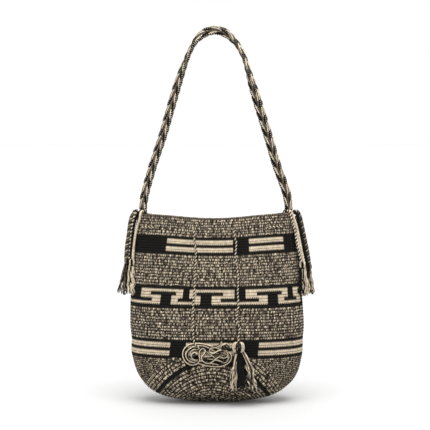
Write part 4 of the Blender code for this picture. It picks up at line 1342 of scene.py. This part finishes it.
# Loose black yarns that come down between the side cords into the inner tassels: tassel, radius, route
LOOSE_YARNS = (
    ("left_inner_tassel", 0.0011, (
        (-0.1240, -0.0085, -0.2860), (-0.1270, -0.0112, -0.2960), (-0.1298, -0.0118, -0.3090),
        (-0.1325, -0.0135, -0.3230), (-0.1350, -0.0160, -0.3450), (-0.1360, -0.0175, -0.3610),
    )),
    ("right_inner_tassel", 0.0012, (
        (0.1262, -0.0095, -0.2880), (0.1280, -0.0100, -0.2980), (0.1312, -0.0110, -0.3110),
        (0.1345, -0.0125, -0.3260), (0.1372, -0.0140, -0.3430), (0.1388, -0.0160, -0.3620),
    )),
    # The thick black strand fills the dark strip between the wall and the right side cords, down into the tassel
    ("right_inner_tassel", 0.0018, (
        (0.1250, -0.0135, -0.3060), (0.1268, -0.0140, -0.3200), (0.1289, -0.0150, -0.3360), (0.1308, -0.0160, -0.3520),
        (0.1325, -0.0175, -0.3680), (0.1335, -0.0185, -0.3860), (0.1340, -0.0190, -0.4040),
    )),
)


def side_tassels():
    """The four tied tassels at the ends of the side cords."""
    made = {}
    for name, place, width, skirt, locks in SIDE_TASSELS:
        heap = Heap()
        middle = np.array(place)
        tone = "cream" if "inner" in name else "mottle"
        bound_head(heap, middle, (width, width * SIDE_HEAD_DEPTH, SIDE_HEAD_HEIGHT), (tone, "black"), 3)
        for lock in locks:
            yarn_lock(heap, middle, skirt, lock)
        for tassel, radius, route in LOOSE_YARNS:
            if tassel == name:
                strand(heap, smooth_route(route, CORD_STEP), radius, ("black", "black"), 2, CORD_PITCH, 8)
        slot = "cream_yarn" if "inner" in name else "black_yarn"
        made[name] = heap.piece(name + "_yarn", LOOSE, slot, [name])
    return made


# ---- The strap ----

PLAIT_PERIOD = 0.026
LOBE_LENGTH = 0.98
LOBE_YARN = 0.00105
LOBE_SPREAD = 0.30
LOBE_ROUND = 0.16
CORE_RADIUS = 0.0032
CORE_POINTS = 260
CORE_INSET = 0.0005
STRAP_STEP = 0.001

# Along a lobe: how far its middle lies across the strap and out of it, and how full it is, as shares
LOBE_ACROSS = ((0, 0.30, 0.70, 1), (0.53, 0.52, 0.31, 0.10))
LOBE_OUT = ((0, 0.18, 0.45, 0.75, 1), (-0.15, 0.38, 0.66, 0.56, 0.02))
LOBE_SWELL = ((0, 0.2, 0.5, 0.8, 1), (0.35, 0.85, 1.0, 0.80, 0.30))

# The five yarns of each lobe, from the middle of the strap outward: tones and pitch of their twist
BLACK_YARN = (("black",), 1.0)
CREAM_YARN = (("pale",), 1.0)
BROWN_YARN = (("brown",), 1.0)
DOTTED_YARN = (("black", "pale"), 0.0034)
LOBE_YARNS = {
    (-1, 0): (CREAM_YARN, BLACK_YARN, BLACK_YARN, BLACK_YARN, DOTTED_YARN),
    (-1, 1): (CREAM_YARN, BROWN_YARN, CREAM_YARN, DOTTED_YARN, DOTTED_YARN),
    (1, 0): (CREAM_YARN, BLACK_YARN, BLACK_YARN, DOTTED_YARN, BROWN_YARN),
    (1, 1): (CREAM_YARN, BROWN_YARN, CREAM_YARN, BROWN_YARN, CREAM_YARN),
}


def strap_line():
    """The strap's middle line, its directions, width and turn at even steps."""
    rise = STRAP_WIDTH / 2
    rows = [(across * STRAP_HALF_SPAN, rise - drop * (STRAP_DROP + rise), width, turn)
            for across, drop, width, turn in STRAP_ROUTE]
    coarse = np.array([(x, 0.0, z) for x, z, _, _ in rows])
    line = smooth_route(coarse, STRAP_STEP)
    lengths = lengths_along(coarse)
    table = [(share, row[2], row[3]) for share, row in zip(lengths / lengths[-1], rows)]
    values = np.array([look_up(table, k / (len(line) - 1)) for k in range(len(line))])
    along = unit(np.gradient(line, axis=0))
    sideways = np.stack([-along[:, 2], np.zeros(len(line)), along[:, 0]], 1)
    turn = np.radians(values[:, 1])[:, None]
    facing = np.array([0.0, 1.0, 0.0])
    wide = sideways * np.cos(turn) + facing * np.sin(turn)
    thick = facing * np.cos(turn) - sideways * np.sin(turn)
    return line, wide, thick, values[:, 0]


def plaited_strap():
    """The strap: lobes of five yarns that meet in V shapes on both faces, round a dark core."""
    line, wide, thick, width = strap_line()
    length = route_length(line)
    steps = np.linspace(0, length, len(line))
    heap = Heap()

    def place(at, across, out):
        at = np.clip(at, 0, length)
        base, to_side, to_front = (read_line(at, steps, values) for values in (line, wide, thick))
        sideways = across * np.interp(at, steps, width) * STRAP_WIDTH / 2
        return base + to_side * sideways[:, None] + to_front * (out * STRAP_THICKNESS / 2)[:, None]

    half = PLAIT_PERIOD / 2
    count = int(length / half) + 2
    for face in (-1, 1):
        for side in (-1, 1):
            for number in range(-1, count):
                start = (number + 0.5 * (side == 1) + 0.25 * (face == 1)) * half
                for yarn, (tones, pitch) in enumerate(LOBE_YARNS[side, number % 2]):
                    t = np.linspace(0, 1, 12 if len(tones) == 1 else 24)
                    at = start + t * PLAIT_PERIOD * LOBE_LENGTH
                    keep = (at > 0) & (at < length)
                    if keep.sum() < 4:
                        continue
                    across = side * np.interp(t, *LOBE_ACROSS)
                    out = face * np.interp(t, *LOBE_OUT)
                    swell = np.interp(t, *LOBE_SWELL)
                    spread = (yarn - 2) / 2
                    sideways = across + side * spread * swell * LOBE_SPREAD
                    forward = out - face * LOBE_ROUND * spread ** 2
                    path = place(at[keep], sideways[keep], forward[keep])
                    radius = LOBE_YARN * (0.75 + 0.25 * swell[keep])
                    strand(heap, path, radius, tones, len(tones), pitch, 4 + len(tones), 0.15, 0.85)
    middle = np.zeros(CORE_POINTS)
    core = place(np.linspace(CORE_INSET, length - CORE_INSET, CORE_POINTS), middle, middle)
    strand(heap, core, CORE_RADIUS, ("brown",), 1, 1.0, 10, 0.1)
    heap.piece("plaited_strap", BRAID, "braid", ["strap"])


set_camera()
set_studio()
drawstrings()
side_cords(side_tassels())
crochet_wall()
crochet_base()
wall_inside()
plaited_strap()
